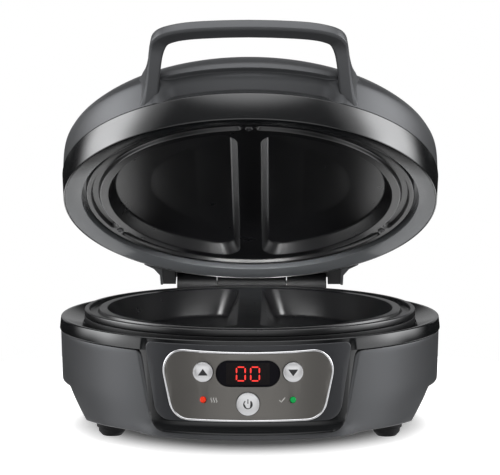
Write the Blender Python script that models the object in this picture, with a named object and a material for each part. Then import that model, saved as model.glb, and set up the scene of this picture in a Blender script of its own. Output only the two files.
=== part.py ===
"""Two-portion omelette maker, lid open as photographed, feet on the ground at z = 0, front facing -Y.

Lengths are metres. Base pieces are drawn round the axis of the drum, lid pieces as if the lid were
closed; the lid pivot then turns the lid open about the hinge.
"""
import math

import bmesh
import bpy
from mathutils import Matrix, Vector

mm = 0.001
deg = math.pi / 180

# Fits
gap = 0.3 * mm                # between pieces that touch
lip_gap = 0.5 * mm            # between the two plates when the lid is shut
merge_cut = 1 * mm            # how far a cutter runs past the face it cuts
half = 0.5
turn_segments = 64            # round the drum
small_segments = 24
bend_step = 2 * math.pi / turn_segments
smooth_edge = 35 * deg

# Controls, heights counted up from the lower edge of the panel
start_margin = 3 * mm
start_button_radius = 7.8 * mm
start_button_proud = 0.9 * mm
display_space = 4 * mm
display_width = 43 * mm
display_height = 17.4 * mm
display_proud = 0.5 * mm
module_side = 8 * mm
module_edge = 1.95 * mm
panel_head = 6.2 * mm
side_button_space = 2.2 * mm
side_button_lift = 0.9 * mm
side_button_radius = 6.7 * mm
side_button_proud = 1.9 * mm
button_dome = 1.5 * mm
button_dome_shares = ((0, 1), (0.5, 0.86), (0.86, 0.5))
button_travel = 1 * mm
button_clear = 0.35 * mm
button_skirt_flange = 1.3 * mm
button_flange_wall = 1.4 * mm
button_stem = 2.4 * mm
switch_side = 6 * mm
switch_depth = 4 * mm
indicator_lift = 2.3 * mm
indicator_radius = 2.1 * mm
indicator_proud = 0.6 * mm
indicator_dome_shares = (0.8, 0.7)
indicator_length = 14 * mm

# Heights of the base
housing_bottom = 13.4 * mm
bottom_roll = 2.6 * mm
waist_rise = 18 * mm
notch_rise = 4.8 * mm
fascia_rise = 6.2 * mm
panel_rise = 2.3 * mm
fascia_head = 4.3 * mm
frame_head = 2.8 * mm
band_height = 9 * mm
plate_stand = 5 * mm
shut_gap = 1 * mm

# Drum of the base, radii stepped in from the band
band_radius = 136 * mm
rim_inset = 1 * mm
rim_round = 1.2 * mm
band_wall = 2.6 * mm
dish_width = 16.8 * mm
dish_drop = 4.8 * mm
dish_wall = 2.6 * mm
ledge_depth = 5.2 * mm
ledge_drop = 1.2 * mm
housing_inset = 0.8 * mm
housing_wall = 3 * mm
waist_inset = 1.7 * mm
foot_edge_inset = 4.4 * mm
bottom_round = 1.6 * mm
foot_edge_width = 4.1 * mm

# Cooking plates
plate_skirt = 4.5 * mm
lip_width = 3.2 * mm
lip_round = 0.6 * mm
groove_depth = 2.8 * mm
groove_width = 7.4 * mm
flat_ring_width = 2.6 * mm
well_margin = 3 * mm
plate_under = 5.4 * mm
plate_wall = 2.7 * mm
skirt_wall = 3 * mm
divider_half = 8.3 * mm
well_corner = 13 * mm
well_depth = 20 * mm
well_floor_round = 4 * mm
wall_lean = 8.5 * mm
floor_lean = 4 * mm
well_arc_steps = 20
well_corner_steps = 4
arc_boss_half_angle = 4.4 * deg
arc_groove_half = 3.3 * mm
arc_step = 5 * deg

# Collar under the lower plate
collar_wall = 4.2 * mm
collar_step = 1.2 * mm

# Heating
heater_tube = 3.3 * mm
heater_inset = 35 * mm
heater_space = 11.5 * mm
heater_clear = 1.2 * mm
heater_open_angle = 36 * deg
heater_sides = 8
heater_steps = 30
terminal_length = 16 * mm
shield_sheet = 0.9 * mm
shield_clear = 2.5 * mm
shield_flange = 7.9 * mm
shield_taper = 7.5 * mm
shield_segments = 40
thermostat_radius = 8 * mm
thermostat_height = 6.5 * mm
thermostat_flange = 10.5 * mm
thermostat_flange_height = 1.5 * mm
fuse_radius = 2.2 * mm
fuse_length = 14 * mm

# Front: notch in the housing, dark frame, fascia, panel
notch_side = 3.9 * mm
notch_foot_side = 3.2 * mm
notch_corner = 13 * mm
notch_flare = 3.4 * mm
notch_flare_shares = ((0, 2), (0.25, 0.5), (1, 0))
front_lip_angle = 31 * deg
front_lip_fade = 6 * deg
front_lip_drop = 1.6 * mm
front_lip_swell = 2.6 * mm
apron_wall = 2.3 * mm
apron_overlap = 4 * mm
fascia_wall = 2.2 * mm
fascia_top_half = 72.8 * mm
fascia_bottom_half = 65 * mm
fascia_corner = 12.5 * mm
fascia_top_corner = 4 * mm
panel_proud = 0.4 * mm
panel_wall = 1.2 * mm
panel_side = 11.2 * mm
panel_foot_side = 14 * mm
panel_sag = 1.8 * mm
panel_corner = 13.5 * mm
trim_width = 1.5 * mm
trim_proud = 0.9 * mm
corner_steps = 6

# Electronics
board_sheet = 1.6 * mm
board_back = 17.2 * mm        # behind the dark frame
board_half_width = 52 * mm
board_margin = 10 * mm
power_width = 84 * mm
power_length = 62 * mm
power_lift = 7.4 * mm
post_radius = 3.2 * mm
post_inset = 7 * mm
relay_size = (17 * mm, 20 * mm, 15 * mm)
relay_place = (-20 * mm, 8 * mm)
transformer_size = (30 * mm, 28 * mm, 22 * mm)
transformer_place = (16 * mm, 0)

# Underside
cover_sheet = 2.4 * mm
cover_lift = 0.8 * mm
vent_count = 5
vent_width = 3 * mm
vent_length = 34 * mm
vent_pitch = 9 * mm
foot_clear = 0.35 * mm
foot_y = 46 * mm
foot_radius = 10.8 * mm
foot_waist = 8.4 * mm
foot_waist_height = 4 * mm
foot_waist_step = 1 * mm
foot_pad_radius = 6.6 * mm
grip_rise = 21 * mm
grip_top_half = 46.5 * mm
grip_bottom_half = 68 * mm
grip_round = 7 * mm
grip_depth = 21.4 * mm
liner_wall = 2 * mm

# Hinge
hinge_lift = 2.1 * mm         # above the rim
lid_open = 31 * deg
pin_radius = 3 * mm
pin_clear = 0.3 * mm
pin_inset = 4 * mm
knuckle_radius = 9 * mm
knuckle_clear = 2.3 * mm
knuckle_inner = 27.5 * mm
knuckle_length = 29.5 * mm
side_clear = 1.2 * mm
block_reach = 26 * mm
block_drop = 32.1 * mm
block_chamfer = 7 * mm
ear_width = 9.4 * mm
ear_rear = 8.6 * mm
bridge_clear = 1.1 * mm
bridge_wall = 5.2 * mm
bridge_step = 0.6 * mm
cover_skin = 2 * mm
cover_room = 1.9 * mm
cover_head_room = 6.6 * mm
cover_slope = 9 * mm
cover_chamfer = 12 * mm
cover_flare = 18.1 * mm
cover_flare_share = 0.45

# Lid, heights counted from its mouth
lid_inset = 0.4 * mm
lid_mouth_taper = 1.4 * mm
lid_band_height = 19.4 * mm
lid_band_wall = 2.6 * mm
lid_edge_round = 1.1 * mm
cone_gap = 2.8 * mm
cone_rise = 2 * mm
cone_wall = 2.2 * mm
shell_wall = 3 * mm
# (radius share of the band, height share of the rise), from the band up to the crown
dome_rise = 52.6 * mm
dome_shares = ((0.997, 0.0076), (0.9965, 0.0829), (0.996, 0.1787), (0.9945, 0.2745),
               (0.990, 0.3635), (0.980, 0.4183), (0.960, 0.5004), (0.910, 0.6195),
               (0.850, 0.7262), (0.767, 0.8248), (0.605, 0.9247), (0.36, 0.9836))
recess_depth = 8.5 * mm
recess_start = 0.6 * mm       # above the band
recess_height = 18.2 * mm
recess_side = 5 * mm
recess_fade = 12 * mm
recess_slope_shares = (0.25, 0.75)

# Handle
grip_stand = 14.9 * mm        # in front of the band
grip_lift = 36.9 * mm         # above the band
grip_half_height = 4.4 * mm
grip_half_depth = 7.6 * mm
grip_bow = 3 * mm
leg_corner_x = 59 * mm
leg_half_width = 4.8 * mm
leg_root_half = 8.5 * mm
leg_root_height = 14.5 * mm
root_lift = 15.1 * mm         # above the band
root_inset = 7 * mm
# Centre (x, y, z shares from the middle of the grip to the root), half width as shares of the
# grip, the leg and the root, half height as shares of the grip and the root
handle_shares = (((0, 0, 0), (1, 0, 0), (1, 0)),
                 ((0.553, 0.024, 0.044), (1, 0, 0), (1, 0)),
                 ((0.726, 0.063, 0.097), (0.98, 0, 0), (1, 0)),
                 ((0.816, 0.148, 0.149), (0.5, 0.6, 0), (0.95, 0.04)),
                 ((0.866, 0.296, 0.27), (0.1, 1, 0), (0.8, 0.17)),
                 ((0.889, 0.484, 0.504), (0, 1.02, 0), (0.4, 0.485)),
                 ((0.925, 0.709, 0.81), (0, 0.75, 0.26), (0.1, 0.825)),
                 ((0.967, 0.861, 0.952), (0, 0.25, 0.71), (0, 1)),
                 ((1, 1, 1), (0, 0, 1), (0, 1)))
handle_square_share = 0.62
handle_sides = 12

# Rear inlet bush
bush_angle = 30 * deg
bush_lift = 19.6 * mm
bush_radius = 7 * mm
bush_flange = 9.5 * mm
bush_flange_wall = 1.8 * mm
bush_bore = 3.6 * mm
bush_inside = 7 * mm

gunmetal = ((0.075, 0.078, 0.082), 0.42, 0.55)
gloss_dark = ((0.02, 0.021, 0.023), 0.12, 0.2)
soft_black = ((0.012, 0.012, 0.013), 0.5, 0.0)
nonstick = ((0.014, 0.014, 0.015), 0.36, 0.1)
steel = ((0.6, 0.6, 0.6), 0.3, 1.0)
bright = ((0.85, 0.85, 0.86), 0.12, 1.0)
brown_grey = ((0.13, 0.12, 0.11), 0.35, 0.7)
rubber = ((0.015, 0.015, 0.015), 0.8, 0.0)
green_board = ((0.02, 0.12, 0.05), 0.5, 0.0)
amber = ((0.6, 0.45, 0.1), 0.4, 0.0)
red_lens = ((0.8, 0.05, 0.03), 0.3, 0.0)
green_lens = ((0.03, 0.45, 0.12), 0.3, 0.0)


# Derived places, from the feet up
foot_edge_height = housing_bottom + bottom_roll
waist_height = foot_edge_height + waist_rise
grip_top = housing_bottom + grip_rise
notch_bottom = housing_bottom + notch_rise
fascia_bottom = notch_bottom + fascia_rise
panel_bottom = fascia_bottom + panel_rise
start_button_z = panel_bottom + start_margin + start_button_radius
indicator_z = start_button_z + indicator_lift
display_z = start_button_z + start_button_radius + display_space + display_height * half
side_button_z = display_z + side_button_lift
panel_peak = display_z + display_height * half + panel_head
fascia_top = panel_peak + fascia_head
rim_height = fascia_top + frame_head
band_bottom = rim_height - band_height
housing_top = band_bottom - gap
dish_height = rim_height - dish_drop
ledge_height = dish_height - ledge_drop
ledge_bottom = ledge_height - dish_wall
plate_lip_height = rim_height + plate_stand
collar_bottom = ledge_height + gap
collar_top = plate_lip_height - plate_skirt - gap
cover_low = housing_bottom + cover_lift
power_height = cover_low + cover_sheet + power_lift
bush_z = housing_bottom + bush_lift
mouth_height = rim_height + shut_gap
upper_lip = plate_lip_height + lip_gap - mouth_height
hinge_z = rim_height + hinge_lift
block_foot = hinge_z - block_drop

# Derived radii and distances from the drum's axis
rim_radius = band_radius - rim_inset
housing_radius = band_radius - housing_inset
waist_radius = band_radius - waist_inset
foot_edge_radius = band_radius - foot_edge_inset
inner_ring_radius = foot_edge_radius - foot_edge_width
fascia_radius = band_radius
apron_outer = fascia_radius - fascia_wall - gap
apron_inner = apron_outer - apron_wall
panel_radius = fascia_radius + panel_proud
panel_back = panel_radius - panel_wall
board_front = apron_inner - board_back
plate_radius = rim_radius - dish_width
flat_ring_radius = plate_radius - lip_width - groove_width - flat_ring_width
well_radius = flat_ring_radius - well_margin
shield_wall_radius = well_radius + shield_clear
shield_rim_radius = shield_wall_radius + shield_flange
shield_floor_radius = shield_wall_radius - shield_taper
heater_ring_radius = shield_floor_radius - heater_inset
thermostat_offset = heater_ring_radius - thermostat_flange - heater_space
grip_depth_x = foot_edge_radius - grip_depth
liner_back = grip_depth_x - liner_wall
foot_x = liner_back - gap - foot_clear - foot_radius
hinge_y = band_radius + knuckle_radius + knuckle_clear
lid_band_radius = band_radius - lid_inset
lid_mouth_radius = lid_band_radius - lid_mouth_taper
cone_inner_radius = plate_radius + cone_gap

# Derived widths of the front and the hinge
notch_top_half = fascia_top_half + notch_side
notch_bottom_half = fascia_bottom_half + notch_foot_side
panel_top_half = fascia_top_half - panel_side
panel_bottom_half = fascia_bottom_half - panel_foot_side
side_button_x = display_width * half + side_button_space + side_button_radius
indicator_x = side_button_x
module_width = display_width - module_side * 2
module_height = display_height - module_edge * 2
board_bottom = start_button_z - board_margin
board_top = side_button_z + board_margin
knuckle_outer = knuckle_inner + knuckle_length
cover_flare_half = knuckle_outer + side_clear + ear_width + gap + cover_skin + cover_flare

# Derived heights and distances of the lid, closed
bridge_low = hinge_z - mouth_height + knuckle_radius + bridge_clear
bridge_high = bridge_low + bridge_wall
bridge_rear = ear_rear - bridge_step
cover_rear = ear_rear + cover_room + cover_skin
cover_top = bridge_high + cover_head_room + cover_skin
recess_low = lid_band_height + recess_start
recess_high = recess_low + recess_height
recess_half = leg_corner_x - recess_side
dome_height = lid_band_height + dome_rise
root_height = lid_band_height + root_lift
grip_height = lid_band_height + grip_lift
grip_front = lid_band_radius + grip_stand


def arch_outline(top_half, bottom_half, low, high, corner, steps):
    """Arch of a side grip in (y, z), open at the bottom."""
    slope = (bottom_half - top_half) / (high - housing_bottom)
    foot_half = bottom_half + slope * (housing_bottom - low)
    corners = [(-foot_half, low), (foot_half, low), (top_half, high), (-top_half, high)]
    return rounded(corners, [0, 0, corner, corner], steps)


def turned_open(y, z):
    """Where a point of the closed lid lands when the lid is open, seen from the side."""
    dy, dz = y - hinge_y, z - hinge_z
    c, s = math.cos(-lid_open), math.sin(-lid_open)
    return hinge_y + dy * c - dz * s, hinge_z + dy * s + dz * c


def cover_side():
    """Side outline of the hinge cover in (y, z), lid closed."""
    rear = hinge_y + cover_rear
    low = mouth_height + lip_gap
    high = mouth_height + cover_top
    front = lid_band_radius - block_reach
    return [(front, low), (hinge_y, low), (rear, low + cover_chamfer), (rear, high - cover_slope),
            (rear - cover_slope, high), (front, high)]


def front_reach():
    """How far the start button stands out at the front."""
    return panel_radius + start_button_proud + button_dome


def rear_reach():
    """How far the open lid reaches at the rear."""
    return max(turned_open(y, z)[0] for y, z in cover_side())


def drum_y():
    """Y of the drum's axis, so that the whole object is centred front to back."""
    return (front_reach() - rear_reach()) * half


def clear_scene():
    for old in list(bpy.data.objects):
        bpy.data.objects.remove(old, do_unlink=True)


def material(name, look):
    colour, roughness, metallic = look
    made = bpy.data.materials.new(name)
    made.use_nodes = True
    shader = made.node_tree.nodes["Principled BSDF"]
    shader.inputs["Base Color"].default_value = (*colour, 1)
    shader.inputs["Roughness"].default_value = roughness
    shader.inputs["Metallic"].default_value = metallic
    return made


def keep(name, solid, look=None, lid=None):
    """Turn a bmesh into a named object; without a look it is a hidden cutter."""
    bmesh.ops.recalc_face_normals(solid, faces=solid.faces)
    mesh = bpy.data.meshes.new(name)
    solid.to_mesh(mesh)
    solid.free()
    for face in mesh.polygons:
        face.use_smooth = True
    mesh.set_sharp_from_angle(angle=smooth_edge)
    made = bpy.data.objects.new(name, mesh)
    bpy.context.scene.collection.objects.link(made)
    if look is None:
        made.hide_render = True
        made.display_type = "WIRE"
    else:
        mesh.materials.append(material(name, look))
    if lid is None:
        made.location = (0, drum_y(), 0)
    else:
        made.parent = lid
        made.location = (0, -hinge_y, -hinge_z)
    return made


def combine(target, tool, kind):
    step = target.modifiers.new(kind.lower(), "BOOLEAN")
    step.operation = kind
    step.solver = "EXACT"
    step.object = tool
    return step


def cut(target, tool):
    combine(target, tool, "DIFFERENCE")


def add(target, tool):
    combine(target, tool, "UNION")


def rounded(corners, radii, steps):
    """Polygon with its corners replaced by arcs."""
    points = []
    count = len(corners)
    for i, (corner, radius) in enumerate(zip(corners, radii)):
        here = Vector(corner)
        if radius == 0:
            points.append(tuple(here))
            continue
        before = (Vector(corners[i - 1]) - here).normalized()
        after = (Vector(corners[(i + 1) % count]) - here).normalized()
        opening = before.angle(after)
        run = radius / math.tan(opening * half)
        middle = here + (before + after).normalized() * (radius / math.sin(opening * half))
        start = here + before * run - middle
        end = here + after * run - middle
        sweep = math.atan2(start.x * end.y - start.y * end.x, start.dot(end))
        for k in range(steps + 1):
            turn = Matrix.Rotation(sweep * k / steps, 2)
            points.append(tuple(middle + turn @ start))
    return points


def join_loops(solid, first, second):
    """Skin between two closed loops; either may be a single vertex."""
    size = max(len(first), len(second))
    if size == 1:
        return
    for k in range(size):
        n = (k + 1) % size
        if len(first) == 1:
            corners = [first[0], second[k], second[n]]
        elif len(second) == 1:
            corners = [first[k], second[0], first[n]]
        else:
            corners = [first[k], second[k], second[n], first[n]]
        solid.faces.new(corners)


def ring_vertices(solid, radius, height, segments):
    """One ring round Z, its first vertex at the front."""
    if radius == 0:
        return [solid.verts.new((0, 0, height))]
    ring = []
    for k in range(segments):
        angle = 2 * math.pi * k / segments
        ring.append(solid.verts.new((radius * math.sin(angle), -radius * math.cos(angle), height)))
    return ring


def revolved(profile, segments=turn_segments):
    """Closed solid from a closed outline of (radius, height)."""
    solid = bmesh.new()
    rings = [ring_vertices(solid, r, z, segments) for r, z in profile]
    for k, ring in enumerate(rings):
        join_loops(solid, rings[k - 1], ring)
    return solid


def thickened(flat, place):
    """Closed solid from a flat sheet; place(point, side) gives the two skins."""
    solid = bmesh.new()
    flat.verts.index_update()
    skins = [[solid.verts.new(place(v.co, side)) for v in flat.verts] for side in (0, 1)]
    for face in flat.faces:
        ids = [v.index for v in face.verts]
        solid.faces.new([skins[0][i] for i in ids])
        solid.faces.new([skins[1][i] for i in reversed(ids)])
    for edge in flat.edges:
        if edge.is_boundary:
            a, b = (v.index for v in edge.verts)
            solid.faces.new([skins[0][a], skins[0][b], skins[1][b], skins[1][a]])
    flat.free()
    return solid


def flat_sheet(outline, hole=None):
    """Flat sheet in X and Z; hole has as many points as the outline."""
    sheet = bmesh.new()
    outer = [sheet.verts.new((x, 0, z)) for x, z in outline]
    if hole is None:
        sheet.faces.new(outer)
    else:
        join_loops(sheet, outer, [sheet.verts.new((x, 0, z)) for x, z in hole])
    return sheet


def bent(outline, inner, outer, reference=fascia_radius, hole=None):
    """Plate bent round the drum; x of the outline is measured along the reference radius."""
    sheet = flat_sheet(outline, hole)
    reach = max(abs(x) for x, z in outline)
    stride = bend_step * reference
    for k in range(-int(reach / stride), int(reach / stride) + 1):
        everything = sheet.verts[:] + sheet.edges[:] + sheet.faces[:]
        bmesh.ops.bisect_plane(sheet, geom=everything, plane_co=(k * stride, 0, 0),
                               plane_no=(1, 0, 0), dist=merge_cut * merge_cut)

    def place(point, side):
        """Between two bends the plate is flat, so that its facets match those of the drum."""
        radius = outer if side else inner
        first = math.floor(point.x / stride)
        share = point.x / stride - first
        start, end = first * bend_step, (first + 1) * bend_step
        across = math.sin(start) + (math.sin(end) - math.sin(start)) * share
        along = math.cos(start) + (math.cos(end) - math.cos(start)) * share
        return (radius * across, -radius * along, point.z)

    return thickened(sheet, place)


def prism_x(outline, low, high):
    """Outline in (y, z) drawn out along X."""
    def place(point, side):
        return (high if side else low, point.x, point.z)
    return thickened(flat_sheet(outline), place)


def prism_y(outline, low, high):
    """Outline in (x, z) drawn out along Y."""
    def place(point, side):
        return (point.x, high if side else low, point.z)
    return thickened(flat_sheet(outline), place)


def prism_z(outline, low, high):
    """Outline in (x, y) drawn out along Z."""
    def place(point, side):
        return (point.x, point.z, high if side else low)
    return thickened(flat_sheet(outline), place)


def rectangle(low_x, high_x, low_y, high_y):
    return [(low_x, low_y), (high_x, low_y), (high_x, high_y), (low_x, high_y)]


def box(low, high):
    return prism_z(rectangle(low[0], high[0], low[1], high[1]), low[2], high[2])


def turned_along_y(profile, segments=small_segments):
    """Round solid from (radius, outward distance), its axis pointing to the front."""
    solid = revolved(profile, segments)
    bmesh.ops.rotate(solid, cent=(0, 0, 0), matrix=Matrix.Rotation(math.pi * half, 3, "X"),
                     verts=solid.verts)
    return solid


def turned_along_x(profile, segments=small_segments):
    solid = revolved(profile, segments)
    bmesh.ops.rotate(solid, cent=(0, 0, 0), matrix=Matrix.Rotation(math.pi * half, 3, "Y"),
                     verts=solid.verts)
    return solid


def moved(solid, x=0, y=0, z=0):
    bmesh.ops.translate(solid, vec=(x, y, z), verts=solid.verts)
    return solid


def rod(radius, low, high):
    return [(0, low), (radius, low), (radius, high), (0, high)]


def tube_along(path, radius, sides):
    """Round bar along a level path of points."""
    solid = bmesh.new()
    rings = []
    for k, point in enumerate(path):
        before = path[max(k - 1, 0)]
        after = path[min(k + 1, len(path) - 1)]
        ahead = (after - before).normalized()
        side = ahead.cross(Vector((0, 0, 1)))
        ring = []
        for n in range(sides):
            angle = 2 * math.pi * n / sides
            offset = side * math.cos(angle) + Vector((0, 0, 1)) * math.sin(angle)
            ring.append(solid.verts.new(point + offset * radius))
        rings.append(ring)
    for first, second in zip(rings, rings[1:]):
        join_loops(solid, first, second)
    solid.faces.new(rings[0])
    solid.faces.new(rings[-1])
    return solid


# Base shells

def housing_profile():
    wall = housing_wall
    return [(housing_radius, housing_top),
            (waist_radius, waist_height),
            (foot_edge_radius, foot_edge_height),
            (foot_edge_radius - bottom_round, housing_bottom),
            (inner_ring_radius, housing_bottom),
            (inner_ring_radius, foot_edge_height),
            (waist_radius - wall, waist_height),
            (housing_radius - wall, housing_top)]


def housing_core(shrink):
    """What fits inside the housing, that much clear of its wall."""
    wall = housing_wall + shrink
    return [(0, housing_bottom),
            (inner_ring_radius - shrink, housing_bottom),
            (inner_ring_radius - shrink, foot_edge_height),
            (waist_radius - wall, waist_height),
            (housing_radius - wall, housing_top),
            (0, housing_top)]


def notch_outline(shrink=0, top=band_bottom):
    """U of the notch in the housing; the open top flares out with a rounded corner."""
    slope = (notch_top_half - notch_bottom_half) / (band_bottom - notch_bottom)
    top_half = notch_top_half + slope * (top - band_bottom) - shrink
    low_half = notch_bottom_half - shrink
    corners = [(-low_half, notch_bottom + shrink), (low_half, notch_bottom + shrink),
               (top_half, top), (-top_half, top)]
    return rounded(corners, [notch_corner, notch_corner, 0, 0], corner_steps)


def notch_opening(top):
    """The notch as cut in the housing, its sides turning outwards at the top."""
    slope = (notch_top_half - notch_bottom_half) / (band_bottom - notch_bottom)
    side = []
    for across, drop in notch_flare_shares:
        height = housing_top - notch_flare * drop
        straight = notch_top_half - slope * (band_bottom - height)
        side.append((straight + notch_flare * across, height))
    side.append((side[-1][0], top))
    foot = notch_outline(0, top)[:-2]
    return foot + side + [(-x, z) for x, z in reversed(side)]


def swell_front(solid):
    """Draw the bottom edge under the notch down and out, into the lip under the pod."""
    for vertex in solid.verts:
        place = vertex.co
        radius = math.hypot(place.x, place.y)
        if place.z > foot_edge_height + gap:
            continue
        angle = abs(math.atan2(place.x, -place.y))
        share = min(max((front_lip_angle + front_lip_fade - angle) / front_lip_fade, 0), 1)
        if place.z < housing_bottom + gap:
            place.z -= front_lip_drop * share
        if radius > inner_ring_radius + gap:
            grow = 1 + front_lip_swell * share / radius
            place.x *= grow
            place.y *= grow


def make_housing():
    shell = revolved(housing_profile())
    swell_front(shell)
    housing = keep("lower_housing", shell, gunmetal)
    opening = notch_opening(housing_top + merge_cut)
    tool = keep("notch_cutter", bent(opening, apron_inner - apron_wall * 2,
                                     band_radius + housing_wall))
    cut(housing, tool)
    arch = arch_outline(grip_top_half, grip_bottom_half, housing_bottom - merge_cut, grip_top,
                        grip_round, corner_steps)
    for side, name in ((-1, "left"), (1, "right")):
        reach = sorted((side * grip_depth_x, side * (band_radius + merge_cut)))
        tool = keep(f"side_grip_cutter_{name}", prism_x(arch, *reach))
        cut(housing, tool)
    cut(housing, bush_hole())
    return housing


def make_bezel():
    inner = plate_radius - ledge_depth + gap
    edge = plate_radius + gap + gap
    ring = [(rim_radius - rim_round, rim_height),
            (rim_radius, rim_height - rim_round * half),
            (band_radius, band_bottom),
            (band_radius - band_wall, band_bottom),
            (rim_radius - band_wall, rim_height - dish_wall - rim_round),
            (edge + dish_wall, ledge_bottom),
            (inner, ledge_bottom),
            (inner, ledge_height),
            (edge, ledge_height),
            (edge, dish_height),
            (rim_radius - rim_round * 2, rim_height)]
    bezel = keep("top_bezel", revolved(ring), gloss_dark)
    apron_top = band_bottom + apron_overlap
    reach = max(apron_outer, band_radius - band_wall) + merge_cut * half
    apron = keep("bezel_apron", bent(notch_outline(gap, apron_top), apron_inner, reach))
    add(bezel, apron)
    pocket_top = fascia_top + gap
    pocket = keep("bezel_pocket", bent(notch_outline(-merge_cut, pocket_top), apron_outer,
                                       band_radius + merge_cut))
    cut(bezel, pocket)
    for tool in front_holes("bezel"):
        cut(bezel, tool)
    return bezel


def fascia_outline(shrink=0):
    corners = [(-fascia_bottom_half + shrink, fascia_bottom + shrink),
               (fascia_bottom_half - shrink, fascia_bottom + shrink),
               (fascia_top_half - shrink, fascia_top - shrink),
               (-fascia_top_half + shrink, fascia_top - shrink)]
    return rounded(corners, [fascia_corner, fascia_corner, fascia_top_corner, fascia_top_corner],
                   corner_steps)


def panel_outline(grow=0):
    """Panel edge, wider at the top, its top line sagging in the middle."""
    peak = panel_peak + grow
    low = panel_bottom - grow
    top_half = panel_top_half + grow
    low_half = panel_bottom_half + grow
    corner = panel_corner + grow
    corners = [(-low_half, low), (low_half, low), (top_half, peak), (0, peak - panel_sag),
               (-top_half, peak)]
    return rounded(corners, [corner, corner, corner, 0, corner], corner_steps)


def capsule(width, height, middle):
    radius = height * half
    corners = rectangle(-width * half, width * half, middle - radius, middle + radius)
    return rounded(corners, [radius - gap * half * half] * 4, corner_steps)


def face_y(x, radius):
    """Y of the bent face at that radius and x."""
    return -math.sqrt(radius * radius - x * x)


def button_places():
    return (("button_up", -side_button_x, side_button_z, side_button_radius, side_button_proud),
            ("button_down", side_button_x, side_button_z, side_button_radius, side_button_proud),
            ("button_start", 0, start_button_z, start_button_radius, start_button_proud))


def indicator_places():
    return (("indicator_heating", -indicator_x, indicator_z),
            ("indicator_ready", indicator_x, indicator_z))


def front_holes(owner):
    """Cutters for the buttons, the indicators and the digit module."""
    tools = []
    front = -panel_radius - trim_proud - merge_cut
    rear = -board_front - merge_cut
    for name, x, z, radius, proud in button_places():
        hole = turned_along_y(rod(radius + button_clear, -rear, -front))
        tools.append(keep(f"{owner}_hole_{name}", moved(hole, x=x, z=z)))
    for name, x, z in indicator_places():
        hole = turned_along_y(rod(indicator_radius + gap, -rear, -front), small_segments * 2 // 3)
        tools.append(keep(f"{owner}_hole_{name}", moved(hole, x=x, z=z)))
    if owner != "panel":
        wide = module_width * half + gap
        tall = module_height * half + gap
        hole = prism_y(rectangle(-wide, wide, display_z - tall, display_z + tall), front, rear)
        tools.append(keep(f"{owner}_hole_module", hole))
    return tools


def make_fascia():
    fascia = keep("control_fascia", bent(fascia_outline(), apron_outer + gap, fascia_radius),
                  gloss_dark)
    pocket = bent(panel_outline(trim_width + gap + gap), panel_back - gap,
                  fascia_radius + merge_cut)
    cut(fascia, keep("fascia_pocket", pocket))
    for tool in front_holes("fascia"):
        cut(fascia, tool)
    return fascia


def make_panel():
    panel = keep("control_panel", bent(panel_outline(), panel_back, panel_radius), brown_grey)
    window = capsule(display_width + gap * 2, display_height + gap * 2, display_z)
    cut(panel, keep("panel_window_cutter", bent(window, panel_back - merge_cut,
                                                panel_radius + merge_cut)))
    for tool in front_holes("panel"):
        cut(panel, tool)
    trim = bent(panel_outline(trim_width + gap), panel_back, panel_radius + trim_proud,
                hole=panel_outline(gap))
    keep("panel_trim", trim, bright)
    window = capsule(display_width, display_height, display_z)
    keep("display_window", bent(window, panel_back, panel_radius + display_proud), gloss_dark)
    front = face_y(module_width * half, panel_back - gap)
    digits = prism_y(rectangle(-module_width * half, module_width * half,
                               display_z - module_height * half, display_z + module_height * half),
                     front, -board_front - gap)
    keep("digit_module", digits, soft_black)


def make_button(name, x, z, radius, proud):
    """Domed cap with a retaining flange behind the frame and a stem that meets its switch."""
    face = face_y(x, panel_radius)
    flange = radius + button_skirt_flange
    shelf = face_y(abs(x) + flange, apron_inner) + lip_gap
    tip = -board_front - gap - switch_depth - button_travel - gap
    out = -face

    def reach(y):
        return -y - out

    edge = proud
    profile = [(radius * across, edge + button_dome * up) for across, up in button_dome_shares]
    profile += [(radius, edge - button_dome * half),
               (radius, reach(shelf)),
               (flange, reach(shelf)),
               (flange, reach(shelf) - button_flange_wall),
               (button_stem, reach(shelf) - button_flange_wall),
               (button_stem, reach(tip)),
               (0, reach(tip))]
    made = keep(name, turned_along_y(profile), steel)
    made.location = (x, drum_y() + face, z)
    return made


def make_indicator(name, x, z, look):
    out = -face_y(x, panel_radius)
    across_share, up_share = indicator_dome_shares
    profile = [(0, out + indicator_proud),
               (indicator_radius * across_share, out + indicator_proud * up_share),
               (indicator_radius, out),
               (indicator_radius, out - indicator_length),
               (0, out - indicator_length)]
    keep(name, moved(turned_along_y(profile, small_segments * 2 // 3), x=x, z=z), look)


def make_controls():
    for place in button_places():
        make_button(*place)
    for (name, x, z), look in zip(indicator_places(), (red_lens, green_lens)):
        make_indicator(name, x, z, look)
    for name, x, z, radius, proud in button_places():
        wide = switch_side * half
        tact = prism_y(rectangle(x - wide, x + wide, z - wide, z + wide),
                       -board_front - gap - switch_depth, -board_front - gap)
        keep(name.replace("button", "switch"), tact, steel)
    board = prism_y(rectangle(-board_half_width, board_half_width, board_bottom, board_top),
                    -board_front, -board_front + board_sheet)
    keep("control_board", board, green_board)


# Cooking plates

def half_moon(inset, side):
    """Outline of one well, inset from its top edge, in (x, y)."""
    radius = well_radius - inset
    line = divider_half + inset
    corner = well_corner
    across = line + corner
    up = math.sqrt((radius - corner) ** 2 - across ** 2)
    points = []
    meet = math.atan2(up, across)
    for k in range(well_corner_steps + 1):
        angle = -math.pi + (math.pi - meet) * k / well_corner_steps
        points.append((across + corner * math.cos(angle), -up + corner * math.sin(angle)))
    for k in range(1, well_arc_steps):
        angle = -meet + 2 * meet * k / well_arc_steps
        points.append((radius * math.cos(angle), radius * math.sin(angle)))
    for k in range(well_corner_steps + 1):
        angle = meet + (math.pi - meet) * k / well_corner_steps
        points.append((across + corner * math.cos(angle), up + corner * math.sin(angle)))
    return [(side * x, y) for x, y in points]


def outline_loop(solid, outline, height):
    return [solid.verts.new((x, y, height)) for x, y in outline]


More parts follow.
